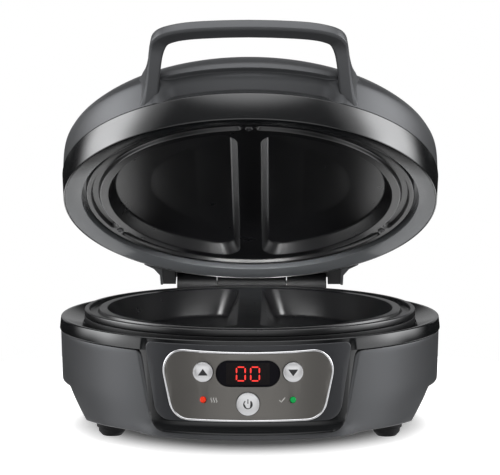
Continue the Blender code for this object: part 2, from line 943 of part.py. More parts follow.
def loop_edges(loop):
    edges = []
    for k, vertex in enumerate(loop):
        other = loop[k - 1]
        found = [e for e in vertex.link_edges if e.other_vert(vertex) is other]
        edges.append(found[0])
    return edges


def well_skin(solid, side, levels):
    """Skin of one well from its top loop down to its floor; returns the top loop."""
    loops = [outline_loop(solid, half_moon(inset, side), height) for inset, height in levels]
    for first, second in zip(loops, loops[1:]):
        join_loops(solid, first, second)
    solid.faces.new(loops[-1])
    return loops[0]


def plate_solid(lip, facing, grooved):
    """Die-cast plate: rim, groove and two half-moon wells; facing 1 opens up, -1 down."""
    def level(depth):
        return lip - facing * depth

    solid = bmesh.new()
    lip_inner = plate_radius - lip_width
    groove_inner = lip_inner - groove_width
    profile = [(plate_radius - skirt_wall, level(plate_under)),
               (plate_radius - skirt_wall, level(plate_skirt)),
               (plate_radius, level(plate_skirt)),
               (plate_radius, level(lip_round)),
               (plate_radius - lip_round, level(0))]
    if grooved:
        profile += [(lip_inner, level(0)),
                    (lip_inner - lip_round, level(groove_depth)),
                    (groove_inner + lip_round, level(groove_depth)),
                    (groove_inner, level(0))]
    profile += [(flat_ring_radius, level(0))]
    if not grooved:
        profile[0] = (plate_radius - skirt_wall, level(plate_under + lip_round))
    under = profile[0][1]
    rings = [ring_vertices(solid, flat_ring_radius, under, turn_segments)]
    rings += [ring_vertices(solid, r, z, turn_segments) for r, z in profile]
    for first, second in zip(rings, rings[1:]):
        join_loops(solid, first, second)
    lean = wall_lean / (well_depth - well_floor_round)
    under_depth = abs(lip - under)
    floor_inset = wall_lean + floor_lean
    top = [(0, level(0)), (wall_lean, level(well_depth - well_floor_round)),
           (floor_inset, level(well_depth))]
    shift = plate_wall
    bottom = [(lean * under_depth - shift, under),
              (wall_lean - shift, level(well_depth - well_floor_round + shift * half)),
              (floor_inset - shift * half, level(well_depth + shift))]
    for levels, ring in ((top, rings[-1]), (bottom, rings[0])):
        loops = [well_skin(solid, side, levels) for side in (-1, 1)]
        edges = loop_edges(ring)
        for loop in loops:
            edges += loop_edges(loop)
        bmesh.ops.triangle_fill(solid, use_beauty=True, edges=edges)
    return solid


def arc_groove(start, end, low, high):
    """Cutter for one groove with round ends between two screw bosses."""
    middle = plate_radius - lip_width - groove_width * half
    reach = arc_groove_half
    steps = max(int((end - start) / arc_step), 2)
    outer, inner = [], []
    for k in range(steps + 1):
        angle = start + (end - start) * k / steps
        outer.append(((middle + reach) * math.cos(angle), (middle + reach) * math.sin(angle)))
        inner.append(((middle - reach) * math.cos(angle), (middle - reach) * math.sin(angle)))

    def cap(angle, forward):
        centre = Vector((middle * math.cos(angle), middle * math.sin(angle)))
        out = Vector((math.cos(angle), math.sin(angle)))
        along = Vector((-math.sin(angle), math.cos(angle))) * forward
        points = []
        for k in range(1, 4):
            turn = math.pi * k / 4
            points.append(tuple(centre + (out * math.cos(turn) + along * math.sin(turn)) * reach))
        return points

    outline = outer + cap(end, 1) + inner[::-1] + cap(start, -1)[::-1]
    return prism_z(outline, low, high)


def make_collar():
    outer = plate_radius + gap * half
    inner = outer - collar_wall
    profile = [(outer, collar_bottom), (outer, collar_top), (inner + collar_step, collar_top),
               (inner + collar_step, collar_top - collar_step), (inner, collar_top - collar_step),
               (inner, collar_bottom)]
    keep("plate_collar", revolved(profile), soft_black)


def heater_solid(height):
    """Open ring of heating tube with two straight ends towards the rear."""
    start = math.pi * half + heater_open_angle * half
    end = math.pi * half * 5 - heater_open_angle * half
    path = []
    for k in range(heater_steps + 1):
        angle = start + (end - start) * k / heater_steps
        path.append(Vector((heater_ring_radius * math.cos(angle),
                            heater_ring_radius * math.sin(angle), height)))
    first, last = path[0], path[-1]
    back = Vector((0, terminal_length, 0))
    path = [first + back] + path + [last + back]
    return tube_along(path, heater_tube, heater_sides)


def shield_solid(rim, heater, facing):
    """Dish under the heating element; rim and heater are its two heights."""
    def level(depth):
        return rim - facing * depth
    sheet = shield_sheet
    drop = abs(heater - rim) + heater_tube + heater_clear + sheet
    profile = [(shield_rim_radius, level(0)), (shield_rim_radius, level(sheet)),
               (shield_wall_radius, level(sheet)),
               (shield_floor_radius, level(drop)), (0, level(drop)),
               (0, level(drop - sheet)),
               (shield_floor_radius - sheet, level(drop - sheet)),
               (shield_wall_radius - sheet, level(0))]
    return revolved(profile, shield_segments)


def thermostat_solid(touch, facing, x):
    def level(depth):
        return touch - facing * depth
    profile = [(0, level(0)), (thermostat_radius, level(0)),
               (thermostat_radius, level(thermostat_height - thermostat_flange_height)),
               (thermostat_flange, level(thermostat_height - thermostat_flange_height)),
               (thermostat_flange, level(thermostat_height)), (0, level(thermostat_height))]
    return moved(revolved(profile, small_segments), x=x)


def make_lower_heat():
    keep("lower_cooking_plate", plate_solid(plate_lip_height, 1, True), nonstick)
    under = plate_lip_height - well_depth - plate_wall - gap
    rim = plate_lip_height - plate_under - gap
    keep("lower_heating_element", heater_solid(under - heater_tube), steel)
    keep("lower_heat_shield", shield_solid(rim, under - heater_tube, 1), steel)
    keep("lower_thermostat", thermostat_solid(under, 1, thermostat_offset), steel)
    fuse = turned_along_x(rod(fuse_radius, -fuse_length * half, fuse_length * half),
                          small_segments // 2)
    keep("thermal_fuse", moved(fuse, x=-thermostat_offset, z=under - fuse_radius), bright)


# Electronics and underside

def make_power():
    low = power_height
    across = power_width * half
    along = power_length * half
    keep("power_board", box((-across, -along, low), (across, along, low + board_sheet)), green_board)
    seat = low + board_sheet + gap
    for name, size, place, look in (("relay", relay_size, relay_place, soft_black),
                                    ("transformer", transformer_size, transformer_place, amber)):
        x, y = place
        wide, deep, tall = size
        keep(name, box((x - wide * half, y - deep * half, seat),
                       (x + wide * half, y + deep * half, seat + tall)), look)


def make_bottom_cover():
    low = cover_low
    radius = inner_ring_radius - gap
    cover = keep("bottom_cover", revolved(rod(radius, low, low + cover_sheet)), soft_black)
    side_half = grip_bottom_half + liner_wall * 2 + gap * 2
    inner = liner_back - gap
    for side, name in ((-1, "left"), (1, "right")):
        low_x, high_x = sorted((side * inner, side * band_radius))
        tool = box((low_x, -side_half, low - merge_cut),
                   (high_x, side_half, low + cover_sheet + merge_cut))
        cut(cover, keep(f"cover_side_cutter_{name}", tool))
    top = power_height - gap
    for index, (sx, sy) in enumerate(((-1, -1), (1, -1), (1, 1), (-1, 1))):
        x = sx * (power_width * half - post_inset)
        y = sy * (power_length * half - post_inset)
        post = revolved(rod(post_radius, low + cover_sheet * half, top), small_segments // 2)
        add(cover, keep(f"board_post_{index + 1}", moved(post, x=x, y=y)))
    for index in range(vent_count):
        y = (index - (vent_count - 1) * half) * vent_pitch + power_length
        tool = box((-vent_length * half, y - vent_width * half, low - merge_cut),
                   (vent_length * half, y + vent_width * half, low + cover_sheet + merge_cut))
        cut(cover, keep(f"vent_cutter_{index + 1}", tool))


def make_feet():
    top = cover_low - gap
    profile = [(0, 0), (foot_pad_radius, 0), (foot_waist, foot_waist_step),
               (foot_waist, foot_waist_height), (foot_radius, foot_waist_height + foot_waist_step),
               (foot_radius, top), (0, top)]
    for name, sx, sy in (("front_left", -1, -1), ("front_right", 1, -1),
                         ("rear_left", -1, 1), ("rear_right", 1, 1)):
        solid = moved(revolved(profile, small_segments), x=sx * foot_x, y=sy * foot_y)
        keep(f"foot_{name}", solid, rubber)


def make_grip_liners():
    """Pocket behind each side cut-away, so that fingers do not reach the inside."""
    wall = liner_wall
    low = cover_low
    outer = arch_outline(grip_top_half + wall, grip_bottom_half + wall * 2, low,
                         grip_top + wall, grip_round + wall, corner_steps)
    inner = arch_outline(grip_top_half, grip_bottom_half, low - merge_cut, grip_top,
                         grip_round, corner_steps)
    for side, name in ((-1, "left"), (1, "right")):
        near, far = sorted((side * liner_back, side * band_radius))
        liner = keep(f"side_grip_liner_{name}", prism_x(outer, near, far), soft_black)
        near, far = sorted((side * grip_depth_x, side * (band_radius + merge_cut)))
        cut(liner, keep(f"liner_hollow_{name}", prism_x(inner, near, far)))
        core = keep(f"liner_core_{name}", revolved(housing_core(gap)))
        combine(liner, core, "INTERSECT")


def bush_frame(solid):
    """Moves a solid drawn along the front axis round to the rear inlet."""
    turn = Matrix.Rotation(math.pi - bush_angle, 3, "Z")
    bmesh.ops.rotate(solid, cent=(0, 0, 0), matrix=turn, verts=solid.verts)
    return moved(solid, z=bush_z)


def bush_hole():
    inner = waist_radius - housing_wall - bush_inside
    return keep("bush_hole", bush_frame(turned_along_y(rod(bush_radius + gap, inner,
                                                           band_radius + merge_cut))))


def make_bush():
    wall = waist_radius + gap
    profile = [(0, wall - bush_inside), (bush_radius, wall - bush_inside - housing_wall),
               (bush_radius, wall + gap), (bush_flange, wall + gap),
               (bush_flange, wall + gap + bush_flange_wall * half),
               (bush_flange - bush_flange_wall * half, wall + bush_flange_wall + gap),
               (bush_bore, wall + bush_flange_wall + gap),
               (bush_bore, wall - housing_wall), (0, wall - housing_wall)]
    keep("cable_gland", bush_frame(turned_along_y(profile)), rubber)


# Hinge

def knuckle_outline(radius, steps=small_segments):
    points = []
    for k in range(steps):
        angle = 2 * math.pi * k / steps
        points.append((hinge_y + radius * math.cos(angle), hinge_z + radius * math.sin(angle)))
    return points


def pin_bore(name, radius, reach, lid=None):
    tool = turned_along_x(rod(radius, -reach, reach))
    return keep(name, moved(tool, y=hinge_y, z=hinge_z), lid=lid)


def make_base_hinge():
    rear = hinge_y + knuckle_radius
    front = hinge_y - knuckle_radius
    inside = lid_band_radius - block_reach
    steps = small_segments // 2
    outline = [(inside, block_foot), (rear - block_chamfer, block_foot),
               (rear, block_foot + block_chamfer)]
    for k in range(steps + 1):
        angle = math.pi * k / steps
        outline.append((hinge_y + knuckle_radius * math.cos(angle),
                        hinge_z + knuckle_radius * math.sin(angle)))
    outline += [(front, band_bottom), (inside, band_bottom)]
    block = keep("base_hinge_block", prism_x(outline, -knuckle_outer, knuckle_outer), soft_black)
    drum = revolved(rod(band_radius + gap, block_foot - merge_cut, hinge_z + block_reach))
    cut(block, keep("block_drum_cutter", drum))
    slot_half = knuckle_inner - side_clear * half
    floor = hinge_z - knuckle_radius - side_clear
    slot = box((-slot_half, inside - merge_cut, floor),
               (slot_half, rear + merge_cut, hinge_z + block_reach))
    cut(block, keep("block_slot_cutter", slot))
    cut(block, pin_bore("block_pin_bore", pin_radius + pin_clear, knuckle_outer + merge_cut))
    for side, name in ((-1, "left"), (1, "right")):
        low, high = sorted((side * pin_inset, side * (knuckle_outer - pin_inset * half)))
        solid = turned_along_x(rod(pin_radius, low, high))
        keep(f"hinge_pin_{name}", moved(solid, y=hinge_y, z=hinge_z), steel)


def lid_drum_cutter(name, lid):
    low = hinge_z - knuckle_radius - merge_cut
    high = mouth_height + lid_band_height + block_reach
    return keep(name, revolved(rod(lid_band_radius + gap, low, high)), lid=lid)


def make_lid_hinge(lid):
    front = lid_band_radius - block_reach
    low = mouth_height + bridge_low
    high = mouth_height + bridge_high
    reach = knuckle_outer + side_clear + ear_width
    bridge_outline = [(front, low), (hinge_y + bridge_rear, low), (hinge_y + bridge_rear, high),
                      (front, high)]
    bridge = keep("lid_hinge_bracket", prism_x(bridge_outline, -reach, reach), soft_black, lid)
    ear_low = mouth_height + side_clear
    ear_outline = [(front, ear_low), (hinge_y, ear_low), (hinge_y + ear_rear, ear_low + ear_rear),
                   (hinge_y + ear_rear, high - merge_cut), (front, high - merge_cut)]
    for side, name in ((-1, "left"), (1, "right")):
        near, far = sorted((side * (reach - ear_width), side * (reach - merge_cut * half * half)))
        ear = keep(f"bracket_ear_{name}", prism_x(ear_outline, near, far), lid=lid)
        add(bridge, ear)
    core_half = knuckle_inner - side_clear
    core = keep("bracket_knuckle", prism_x(knuckle_outline(knuckle_radius - gap), -core_half,
                                           core_half), lid=lid)
    add(bridge, core)
    web_outline = [(hinge_y - knuckle_radius * half, hinge_z), (hinge_y + knuckle_radius * half,
                                                                hinge_z),
                   (hinge_y + knuckle_radius * half, low + merge_cut),
                   (hinge_y - knuckle_radius * half, low + merge_cut)]
    web = keep("bracket_web", prism_x(web_outline, -core_half + merge_cut, core_half - merge_cut),
               lid=lid)
    add(bridge, web)
    cut(bridge, lid_drum_cutter("bracket_drum_cutter", lid))
    cut(bridge, pin_bore("bracket_pin_bore", pin_radius + pin_clear, knuckle_inner, lid))


def make_hinge_cover(lid):
    """Cover over the bracket, flaring out to the shell at both sides."""
    inner_half = knuckle_outer + side_clear + ear_width + gap
    outer_half = inner_half + cover_skin
    side = cover_side()
    rear = side[2][0]
    low = side[0][1]
    high = side[-1][1]
    meet_y = math.sqrt(lid_band_radius ** 2 - cover_flare_half ** 2)
    turn_y = lid_band_radius - cover_skin * 3
    mid_x = outer_half + (cover_flare_half - outer_half) * cover_flare_share * half
    mid_y = turn_y + (meet_y - turn_y) * cover_flare_share
    right = [(cover_flare_half, meet_y - cover_skin), (mid_x, mid_y), (outer_half, turn_y),
             (outer_half, rear)]
    outline = right + [(-x, y) for x, y in reversed(right)]
    cover = keep("hinge_cover", prism_z(outline, low - merge_cut, high + merge_cut), gunmetal, lid)
    reach = cover_flare_half + merge_cut
    combine(cover, keep("cover_side_form", prism_x(side, -reach, reach), lid=lid), "INTERSECT")
    cut(cover, lid_drum_cutter("cover_drum_cutter", lid))
    skin = cover_skin
    front = side[0][0] - merge_cut
    hollow = [(front, low - merge_cut), (rear + skin, low - merge_cut),
              (rear + skin, side[2][1]), (rear - skin, side[2][1]),
              (rear - skin, side[3][1] - skin * half),
              (rear - skin * half - cover_slope, high - skin), (front, high - skin)]
    cut(cover, keep("cover_hollow", prism_x(hollow, -inner_half, inner_half), lid=lid))


# Lid

def recess_at(point_x, height):
    """How far the finger recess pushes the front of the shell in."""
    if height <= recess_low or height >= recess_high:
        return 0
    share = (height - recess_low) / recess_height
    low_share, high_share = recess_slope_shares
    upward = min(share / low_share, 1) * (1 - max(share - high_share, 0) / half)
    aside = (abs(point_x) - recess_half) / recess_fade
    aside = min(max(aside, 0), 1)
    return recess_depth * upward * (1 - aside * aside * (3 - aside * 2))


def dome_profile():
    return [(lid_band_radius * r, lid_band_height + dome_rise * h) for r, h in dome_shares]


def shell_solid():
    outer = dome_profile()
    start = (outer[0][0], lid_band_height + gap)
    outer = [start] + [point for point in outer if point[1] > start[1] + merge_cut * half]
    inner = []
    for k in (0, 2, 3, 4, 5, 7, 9, 10):
        r, h = outer[min(k, len(outer) - 1)]
        lean = min(h / dome_height, 1) ** 3
        inner.append((r - shell_wall * (1 - lean * half), max(h - shell_wall * lean, start[1])))
    solid = bmesh.new()

    def ring(radius, height):
        loop = []
        for k in range(turn_segments):
            angle = 2 * math.pi * k / turn_segments
            x, y = math.sin(angle), -math.cos(angle)
            push = recess_at(radius * x, height) if y < 0 else 0
            loop.append(solid.verts.new(((radius - push) * x, (radius - push) * y,
                                         mouth_height + height)))
        return loop

    loops = [[solid.verts.new((0, 0, mouth_height + dome_height))]]
    loops += [ring(r, h) for r, h in reversed(outer)]
    loops += [ring(r, h) for r, h in inner]
    loops += [[solid.verts.new((0, 0, mouth_height + dome_height - shell_wall))]]
    for first, second in zip(loops, loops[1:]):
        join_loops(solid, first, second)
    return solid


def handle_stations():
    """Centres, half widths and half heights of the handle, left root to right root."""
    root_radius = lid_band_radius - root_inset
    root_x = leg_corner_x + leg_root_half + leg_half_width
    root_y = root_inset * half - math.sqrt(root_radius ** 2 - root_x ** 2)
    front = -grip_front - grip_bow
    high = grip_height + grip_bow
    right = []
    for (x, y, z), (grip, leg, root), (grip_tall, root_tall) in handle_shares:
        centre = (root_x * x, front + (root_y - front) * y, high - (high - root_height) * z)
        wide = grip_half_depth * grip + leg_half_width * leg + leg_root_half * root
        tall = grip_half_height * grip_tall + leg_root_height * root_tall
        right.append((centre, wide, tall))
    left = [((-c[0], c[1], c[2]), wide, tall) for c, wide, tall in reversed(right[1:])]
    return left + right


def handle_solid(grow=0):
    solid = bmesh.new()
    stations = handle_stations()
    loops = []
    for k, (centre, wide, tall) in enumerate(stations):
        centre = Vector(centre)
        before = Vector(stations[max(k - 1, 0)][0])
        after = Vector(stations[min(k + 1, len(stations) - 1)][0])
        ahead = (after - before)
        ahead.z = 0
        ahead.normalize()
        side = ahead.cross(Vector((0, 0, 1)))
        loop = []
        for n in range(handle_sides):
            angle = 2 * math.pi * (n + half) / handle_sides
            c, s = math.cos(angle), math.sin(angle)
            power = handle_square_share
            across = math.copysign(abs(c) ** power, c) * (wide + grow)
            up = math.copysign(abs(s) ** power, s) * (tall + grow)
            loop.append(solid.verts.new(centre + side * across + Vector((0, 0, mouth_height + up))))
        loops.append(loop)
    for first, second in zip(loops, loops[1:]):
        join_loops(solid, first, second)
    solid.faces.new(loops[0])
    solid.faces.new(loops[-1])
    return solid


def make_lid_shell(lid):
    shell = keep("lid_shell", shell_solid(), gunmetal, lid)
    cut(shell, keep("shell_handle_pocket", handle_solid(gap), lid=lid))
    keep("lid_handle", handle_solid(), gunmetal, lid)


def make_lid_band(lid):
    inner = lid_mouth_radius - lid_band_wall
    edge = lid_edge_round
    top = mouth_height + lid_band_height
    profile = [(inner + edge, mouth_height), (lid_mouth_radius - edge, mouth_height),
               (lid_mouth_radius, mouth_height + edge), (lid_band_radius, top - edge),
               (lid_band_radius - edge * half, top), (lid_band_radius - lid_band_wall, top),
               (inner, mouth_height + cone_wall + edge), (inner, mouth_height + edge)]
    keep("lid_band", revolved(profile), gloss_dark, lid)


def make_lid_bezel(lid):
    outer = lid_mouth_radius - lid_band_wall - gap
    low = mouth_height + lip_gap
    plate_back = mouth_height + upper_lip + plate_skirt + gap
    inner = cone_inner_radius
    lip = plate_radius - skirt_wall + gap
    ledge = plate_back + cone_wall
    profile = [(outer, low), (inner, low + cone_rise), (inner, plate_back), (lip, plate_back),
               (lip, ledge), (outer, ledge), (outer, ledge - cone_wall),
               (inner + cone_wall, ledge - cone_wall), (inner + cone_wall, low + cone_rise + cone_wall),
               (outer, low + cone_wall)]
    keep("lid_bezel", revolved(profile), gloss_dark, lid)


def make_upper_heat(lid):
    lip = mouth_height + upper_lip
    plate = keep("upper_cooking_plate", plate_solid(lip, -1, False), nonstick, lid)
    third = 2 * math.pi / 3
    first = math.pi * half * 3
    for index in range(3):
        start = first + third * index + arc_boss_half_angle
        end = first + third * (index + 1) - arc_boss_half_angle
        tool = arc_groove(start, end, lip - merge_cut, lip + groove_depth)
        cut(plate, keep(f"upper_groove_cutter_{index + 1}", tool, lid=lid))
    under = lip + well_depth + plate_wall + gap
    keep("upper_heating_element", heater_solid(under + heater_tube), steel, lid)
    rim = lip + plate_under + lip_round + gap
    keep("upper_heat_shield", shield_solid(rim, under + heater_tube, -1), steel, lid)
    keep("upper_thermostat", thermostat_solid(under, -1, thermostat_offset), steel, lid)


def lid_pivot():
    pivot = bpy.data.objects.new("lid_pivot", None)
    bpy.context.scene.collection.objects.link(pivot)
    pivot.location = (0, drum_y() + hinge_y, hinge_z)
    pivot.rotation_euler = (-lid_open, 0, 0)
    return pivot


def build():
    clear_scene()
    make_housing()
    make_bezel()
    make_fascia()
    make_panel()
    make_controls()
    make_collar()
    make_lower_heat()
    make_power()
    make_bottom_cover()
    make_feet()
    make_grip_liners()
    make_bush()
    make_base_hinge()
    lid = lid_pivot()
    make_lid_shell(lid)
    make_lid_band(lid)
    make_lid_bezel(lid)
    make_upper_heat(lid)
    make_lid_hinge(lid)
    make_hinge_cover(lid)


build()
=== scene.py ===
import math
from collections import namedtuple
from functools import cache

import bmesh
import bpy
from bpy.props import FloatProperty, FloatVectorProperty, PointerProperty
from mathutils import Matrix, Vector


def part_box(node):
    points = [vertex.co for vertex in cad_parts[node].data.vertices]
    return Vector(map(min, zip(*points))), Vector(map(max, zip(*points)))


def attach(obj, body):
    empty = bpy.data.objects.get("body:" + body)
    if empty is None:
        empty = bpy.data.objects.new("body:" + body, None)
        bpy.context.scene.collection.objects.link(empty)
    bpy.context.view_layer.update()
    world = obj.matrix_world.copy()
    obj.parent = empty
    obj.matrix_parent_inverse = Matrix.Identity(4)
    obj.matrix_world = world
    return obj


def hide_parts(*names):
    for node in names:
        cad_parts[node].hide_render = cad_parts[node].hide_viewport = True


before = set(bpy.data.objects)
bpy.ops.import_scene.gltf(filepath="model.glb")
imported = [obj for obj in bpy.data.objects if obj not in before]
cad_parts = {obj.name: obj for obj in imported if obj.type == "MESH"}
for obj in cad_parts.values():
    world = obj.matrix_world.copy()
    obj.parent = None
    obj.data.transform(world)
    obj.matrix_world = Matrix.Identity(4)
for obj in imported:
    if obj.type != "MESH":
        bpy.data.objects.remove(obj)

bl_info = {
    "name": "Omelette maker dressing",
    "version": (1, 0, 0),
    "blender": (4, 5, 0),
    "location": "View3D > Sidebar > Omelette",
    "description": "Builds the finished pieces, finishes and stage of a two-portion omelette maker",
    "category": "Object",
}

MM = 0.001
DEG = math.pi / 180


# Places taken from the frame

def middle_of(node):
    low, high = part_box(node)
    return (low + high) / 2


BEZEL_LOW, BEZEL_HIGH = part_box("top_bezel")
BAND_RADIUS = (BEZEL_HIGH.x - BEZEL_LOW.x) / 2
AXIS_Y = BEZEL_HIGH.y - BAND_RADIUS
RIM_HEIGHT = BEZEL_HIGH.z
MOUTH_HEIGHT = RIM_HEIGHT + 1 * MM
HINGE_Y = middle_of("hinge_pin_left").y - AXIS_Y
HINGE_Z = middle_of("hinge_pin_left").z
PLATE_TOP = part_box("lower_cooking_plate")[1].z
UPPER_LIP = PLATE_TOP + 0.5 * MM
HOUSING_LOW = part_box("bottom_cover")[0].z - 0.8 * MM
START_Z = middle_of("button_start").z
SIDE_Z = middle_of("button_up").z
SIDE_X = middle_of("button_down").x
DISPLAY_Z = middle_of("display_window").z
LIGHT_Z = middle_of("indicator_ready").z


# Sizes and colours that a user may change

def length(name, value, note):
    return FloatProperty(name=name, description=note, default=value, unit="LENGTH")


def colour(name, value, note):
    return FloatVectorProperty(name=name, description=note, default=value, subtype="COLOR",
                               size=3, min=0, max=1)


class DrumSizes(bpy.types.PropertyGroup):
    band_radius: length("Band radius", BAND_RADIUS, "Radius of the gloss band of the base")
    rim_height: length("Rim height", RIM_HEIGHT, "Height of the upper edge of the band")
    band_height: length("Band height", 9 * MM, "Height of the gloss band")
    dish_drop: length("Dish depth", 4.8 * MM, "How deep the top is dished inside the rim")
    edge_round: length("Edge rounding", 1 * MM, "Rounding of the housing's lower edge")
    notch_round: length("Notch rounding", 2.6 * MM, "Rounding of the edge beside the control pod")


class FrontSizes(bpy.types.PropertyGroup):
    fascia_top_half: length("Fascia top", 74.1 * MM, "Half the fascia's width at its top")
    fascia_bottom_half: length("Fascia foot", 65 * MM, "Half the fascia's width at its foot")
    panel_top_half: length("Panel top", 61.6 * MM, "Half the control panel's width at its top")
    panel_bottom_half: length("Panel foot", 51 * MM, "Half the control panel's width at its foot")
    trim_width: length("Trim width", 1.65 * MM, "Width of the bright frame round the panel")
    display_width: length("Display width", 43 * MM, "Width of the display window")
    display_height: length("Display height", 17.4 * MM, "Height of the display window")
    digit_height: length("Digit height", 9.3 * MM, "Height of one lit digit")
    cap_height: length("Cap height", 1.9 * MM, "How far the two side buttons stand proud at their rim")


class PlateSizes(bpy.types.PropertyGroup):
    plate_radius: length("Plate radius", 118.2 * MM, "Outer radius of both cooking plates")
    groove_width: length("Groove width", 7.4 * MM, "Width of the ring groove of the lower plate")
    boss_inset: length("Boss inset", 6.9 * MM, "From the upper plate's edge in to its screws")
    well_inset: length("Well inset", 16.2 * MM, "From a plate's edge in to its wells")
    well_depth: length("Well depth", 20 * MM, "Depth of one half-moon well")
    divider_half: length("Half divider", 8.3 * MM, "Half the width of the bar between the wells")
    well_corner: length("Well corner", 12 * MM, "Radius of the two corners of a well")


class LidSizes(bpy.types.PropertyGroup):
    open_angle: FloatProperty(name="Opening", description="How far the lid stands open",
                              default=31 * DEG, subtype="ANGLE")
    band_height: length("Band height", 19.4 * MM, "Height of the gloss band of the lid")
    dome_rise: length("Dome rise", 52.6 * MM, "Height of the dome above the band")
    recess_depth: length("Finger recess", 8.5 * MM, "Depth of the recess behind the handle")


class HandleSizes(bpy.types.PropertyGroup):
    half_height: length("Half height", 4.2 * MM, "Half the height of the grip")
    half_depth: length("Half depth", 7.0 * MM, "Half the depth of the grip")
    corner_x: length("Corner", 61.6 * MM, "Where the grip turns into its legs")
    bow: length("Bow", 3 * MM, "How far the grip bows out in the middle")


class Finishes(bpy.types.PropertyGroup):
    body: colour("Body", (0.078, 0.080, 0.084), "Satin gunmetal of the shell and the housing")
    gloss: colour("Gloss", (0.0050, 0.0054, 0.0060), "Gloss dark grey of the bands and rims")
    fascia: colour("Fascia", (0.023, 0.024, 0.027), "Satin dark grey of the control fascia")
    # Painted light: this lighter grey on the rear of the cone stands in for the light it catches
    mouth: colour("Mouth", (0.105, 0.11, 0.116), "Rear of the cone inside the mouth")
    plate: colour("Non-stick", (0.0034, 0.0034, 0.0040), "Non-stick coating of the plates")
    panel: colour("Panel", (0.195, 0.186, 0.173), "Brown-grey satin metal of the panel")
    metal: colour("Metal", (0.74, 0.74, 0.75), "Brushed metal of the buttons")
    black: colour("Black plastic", (0.0045, 0.0045, 0.0050), "Hinge, collar and underside")
    glow: colour("Digits", (0.8, 0.028, 0.02), "Light of the digits")
    glow_strength: FloatProperty(name="Digit strength", description="How bright the digits are",
                                 default=1.0, min=0)


GROUPS = {"maker_drum": DrumSizes, "maker_front": FrontSizes, "maker_plate": PlateSizes,
          "maker_lid": LidSizes, "maker_handle": HandleSizes, "maker_looks": Finishes}


def drum():
    return bpy.context.scene.maker_drum


def front():
    return bpy.context.scene.maker_front


def plate():
    return bpy.context.scene.maker_plate


def lid():
    return bpy.context.scene.maker_lid


def looks():
    return bpy.context.scene.maker_looks


# Mesh helpers: everything is drawn round the drum's axis, x to the right, the front facing -y

BEND_STRIDE = 2.4 * MM


def mm(*values):
    """Millimetres, single or in points, in metres."""
    return [v * MM if isinstance(v, (int, float)) else tuple(mm(*v)) for v in values]


def mix(a, b, share):
    return a + (b - a) * share


def ease(share):
    share = min(max(share, 0), 1)
    return share * share * (3 - 2 * share)


def turns(steps):
    return [2 * math.pi * k / steps for k in range(steps)]


def on_drum(radius, angle, height):
    return Vector((radius * math.sin(angle), -radius * math.cos(angle), height))


def ring(radius, height, steps):
    if radius < 1e-7:
        return [Vector((0, 0, height))]
    return [on_drum(radius, angle, height) for angle in turns(steps)]


def rows_of(mesh, rows):
    return [[mesh.verts.new(point) for point in row] for row in rows]


def skins(mesh, rows):
    """Quads between each row of vertices and the next; a row of one vertex makes a fan."""
    for first, second in zip(rows, rows[1:]):
        count = max(len(first), len(second))
        for k in range(count):
            n = (k + 1) % count
            corners = (first[k % len(first)], first[n % len(first)],
                       second[n % len(second)], second[k % len(second)])
            mesh.faces.new(tuple(dict.fromkeys(corners)))


def closed_rows(rows, around=True):
    """Body closed in both directions, or with its first and last rows shut by one face."""
    mesh = bmesh.new()
    made = rows_of(mesh, rows)
    skins(mesh, made + made[:1] if around else made)
    ends = [] if around else [made[0], made[-1]]
    for row in ends:
        if len(row) > 2:
            mesh.faces.new(row)
    return mesh


def revolved(profile, steps=192):
    """Solid of revolution from a closed outline of (radius, height)."""
    return closed_rows([ring(r, z, steps) for r, z in profile],
                       around=all(r >= 1e-7 for r, z in profile))


def loop_edges(mesh, loop):
    return [mesh.edges.get((loop[k - 1], loop[k])) for k in range(len(loop))]


def arc_between(start, end, corner, radius, steps):
    """Points that round one corner of a path."""
    here = Vector(corner)
    before = (Vector(start) - here).normalized()
    after = (Vector(end) - here).normalized()
    opening = before.angle(after)
    if radius <= 0 or opening > math.pi - 0.01:
        return [tuple(here)]
    run = radius / math.tan(opening / 2)
    centre = here + (before + after).normalized() * (radius / math.sin(opening / 2))
    first = here + before * run - centre
    last = here + after * run - centre
    sweep = math.atan2(first.x * last.y - first.y * last.x, first.dot(last))
    return [tuple(centre + Matrix.Rotation(sweep * k / steps, 2) @ first)
            for k in range(steps + 1)]


def rounded(corners, radii, steps=6, closed=True):
    """Outline or open path with its corners rounded."""
    points = []
    count = len(corners)
    for k, (corner, radius) in enumerate(zip(corners, radii)):
        if radius == 0 or (not closed and k in (0, count - 1)):
            points.append(tuple(corner))
        else:
            points += arc_between(corners[k - 1], corners[(k + 1) % count], corner, radius, steps)
    return points


def offset(points, inward):
    """Closed counter-clockwise outline moved inwards, or outwards when negative."""
    moved = []
    for k, point in enumerate(points):
        here = Vector(point)
        a = here - Vector(points[k - 1])
        b = Vector(points[(k + 1) % len(points)]) - here
        a = a.normalized() if a.length > 1e-9 else b.normalized()
        b = b.normalized() if b.length > 1e-9 else a
        left_a = Vector((-a.y, a.x))
        left_b = Vector((-b.y, b.x))
        lean = (left_a + left_b) / max(1 + left_a.dot(left_b), 0.2)
        moved.append(tuple(here + lean * inward))
    return moved


def rounding(edge):
    """Inset and depth of a rounded front edge, from the face out to the side."""
    angles = [math.pi / 2 * k / 4 for k in range(5)]
    return [(edge * (1 - math.sin(turn)), edge * (1 - math.cos(turn))) for turn in angles]


def slab(outline, depth, edge, holes=(), hole_edge=0):
    """Flat plate in (x, depth, z) with rounded front edges and holes; depth counts inwards."""
    mesh = bmesh.new()
    caps = ([], [])
    for shape in (outline, *holes):
        sign, bend = (1, edge) if shape is outline else (-1, hole_edge)
        loops = rows_of(mesh, [[(x, back, z) for x, z in offset(shape, sign * inset)]
                               for inset, back in rounding(bend) + [(0, depth)]])
        skins(mesh, loops)
        for cap, loop in zip(caps, (loops[0], loops[-1])):
            cap.extend(loop_edges(mesh, loop))
    for edges in caps:
        bmesh.ops.triangle_fill(mesh, use_beauty=True, edges=edges)
    return mesh


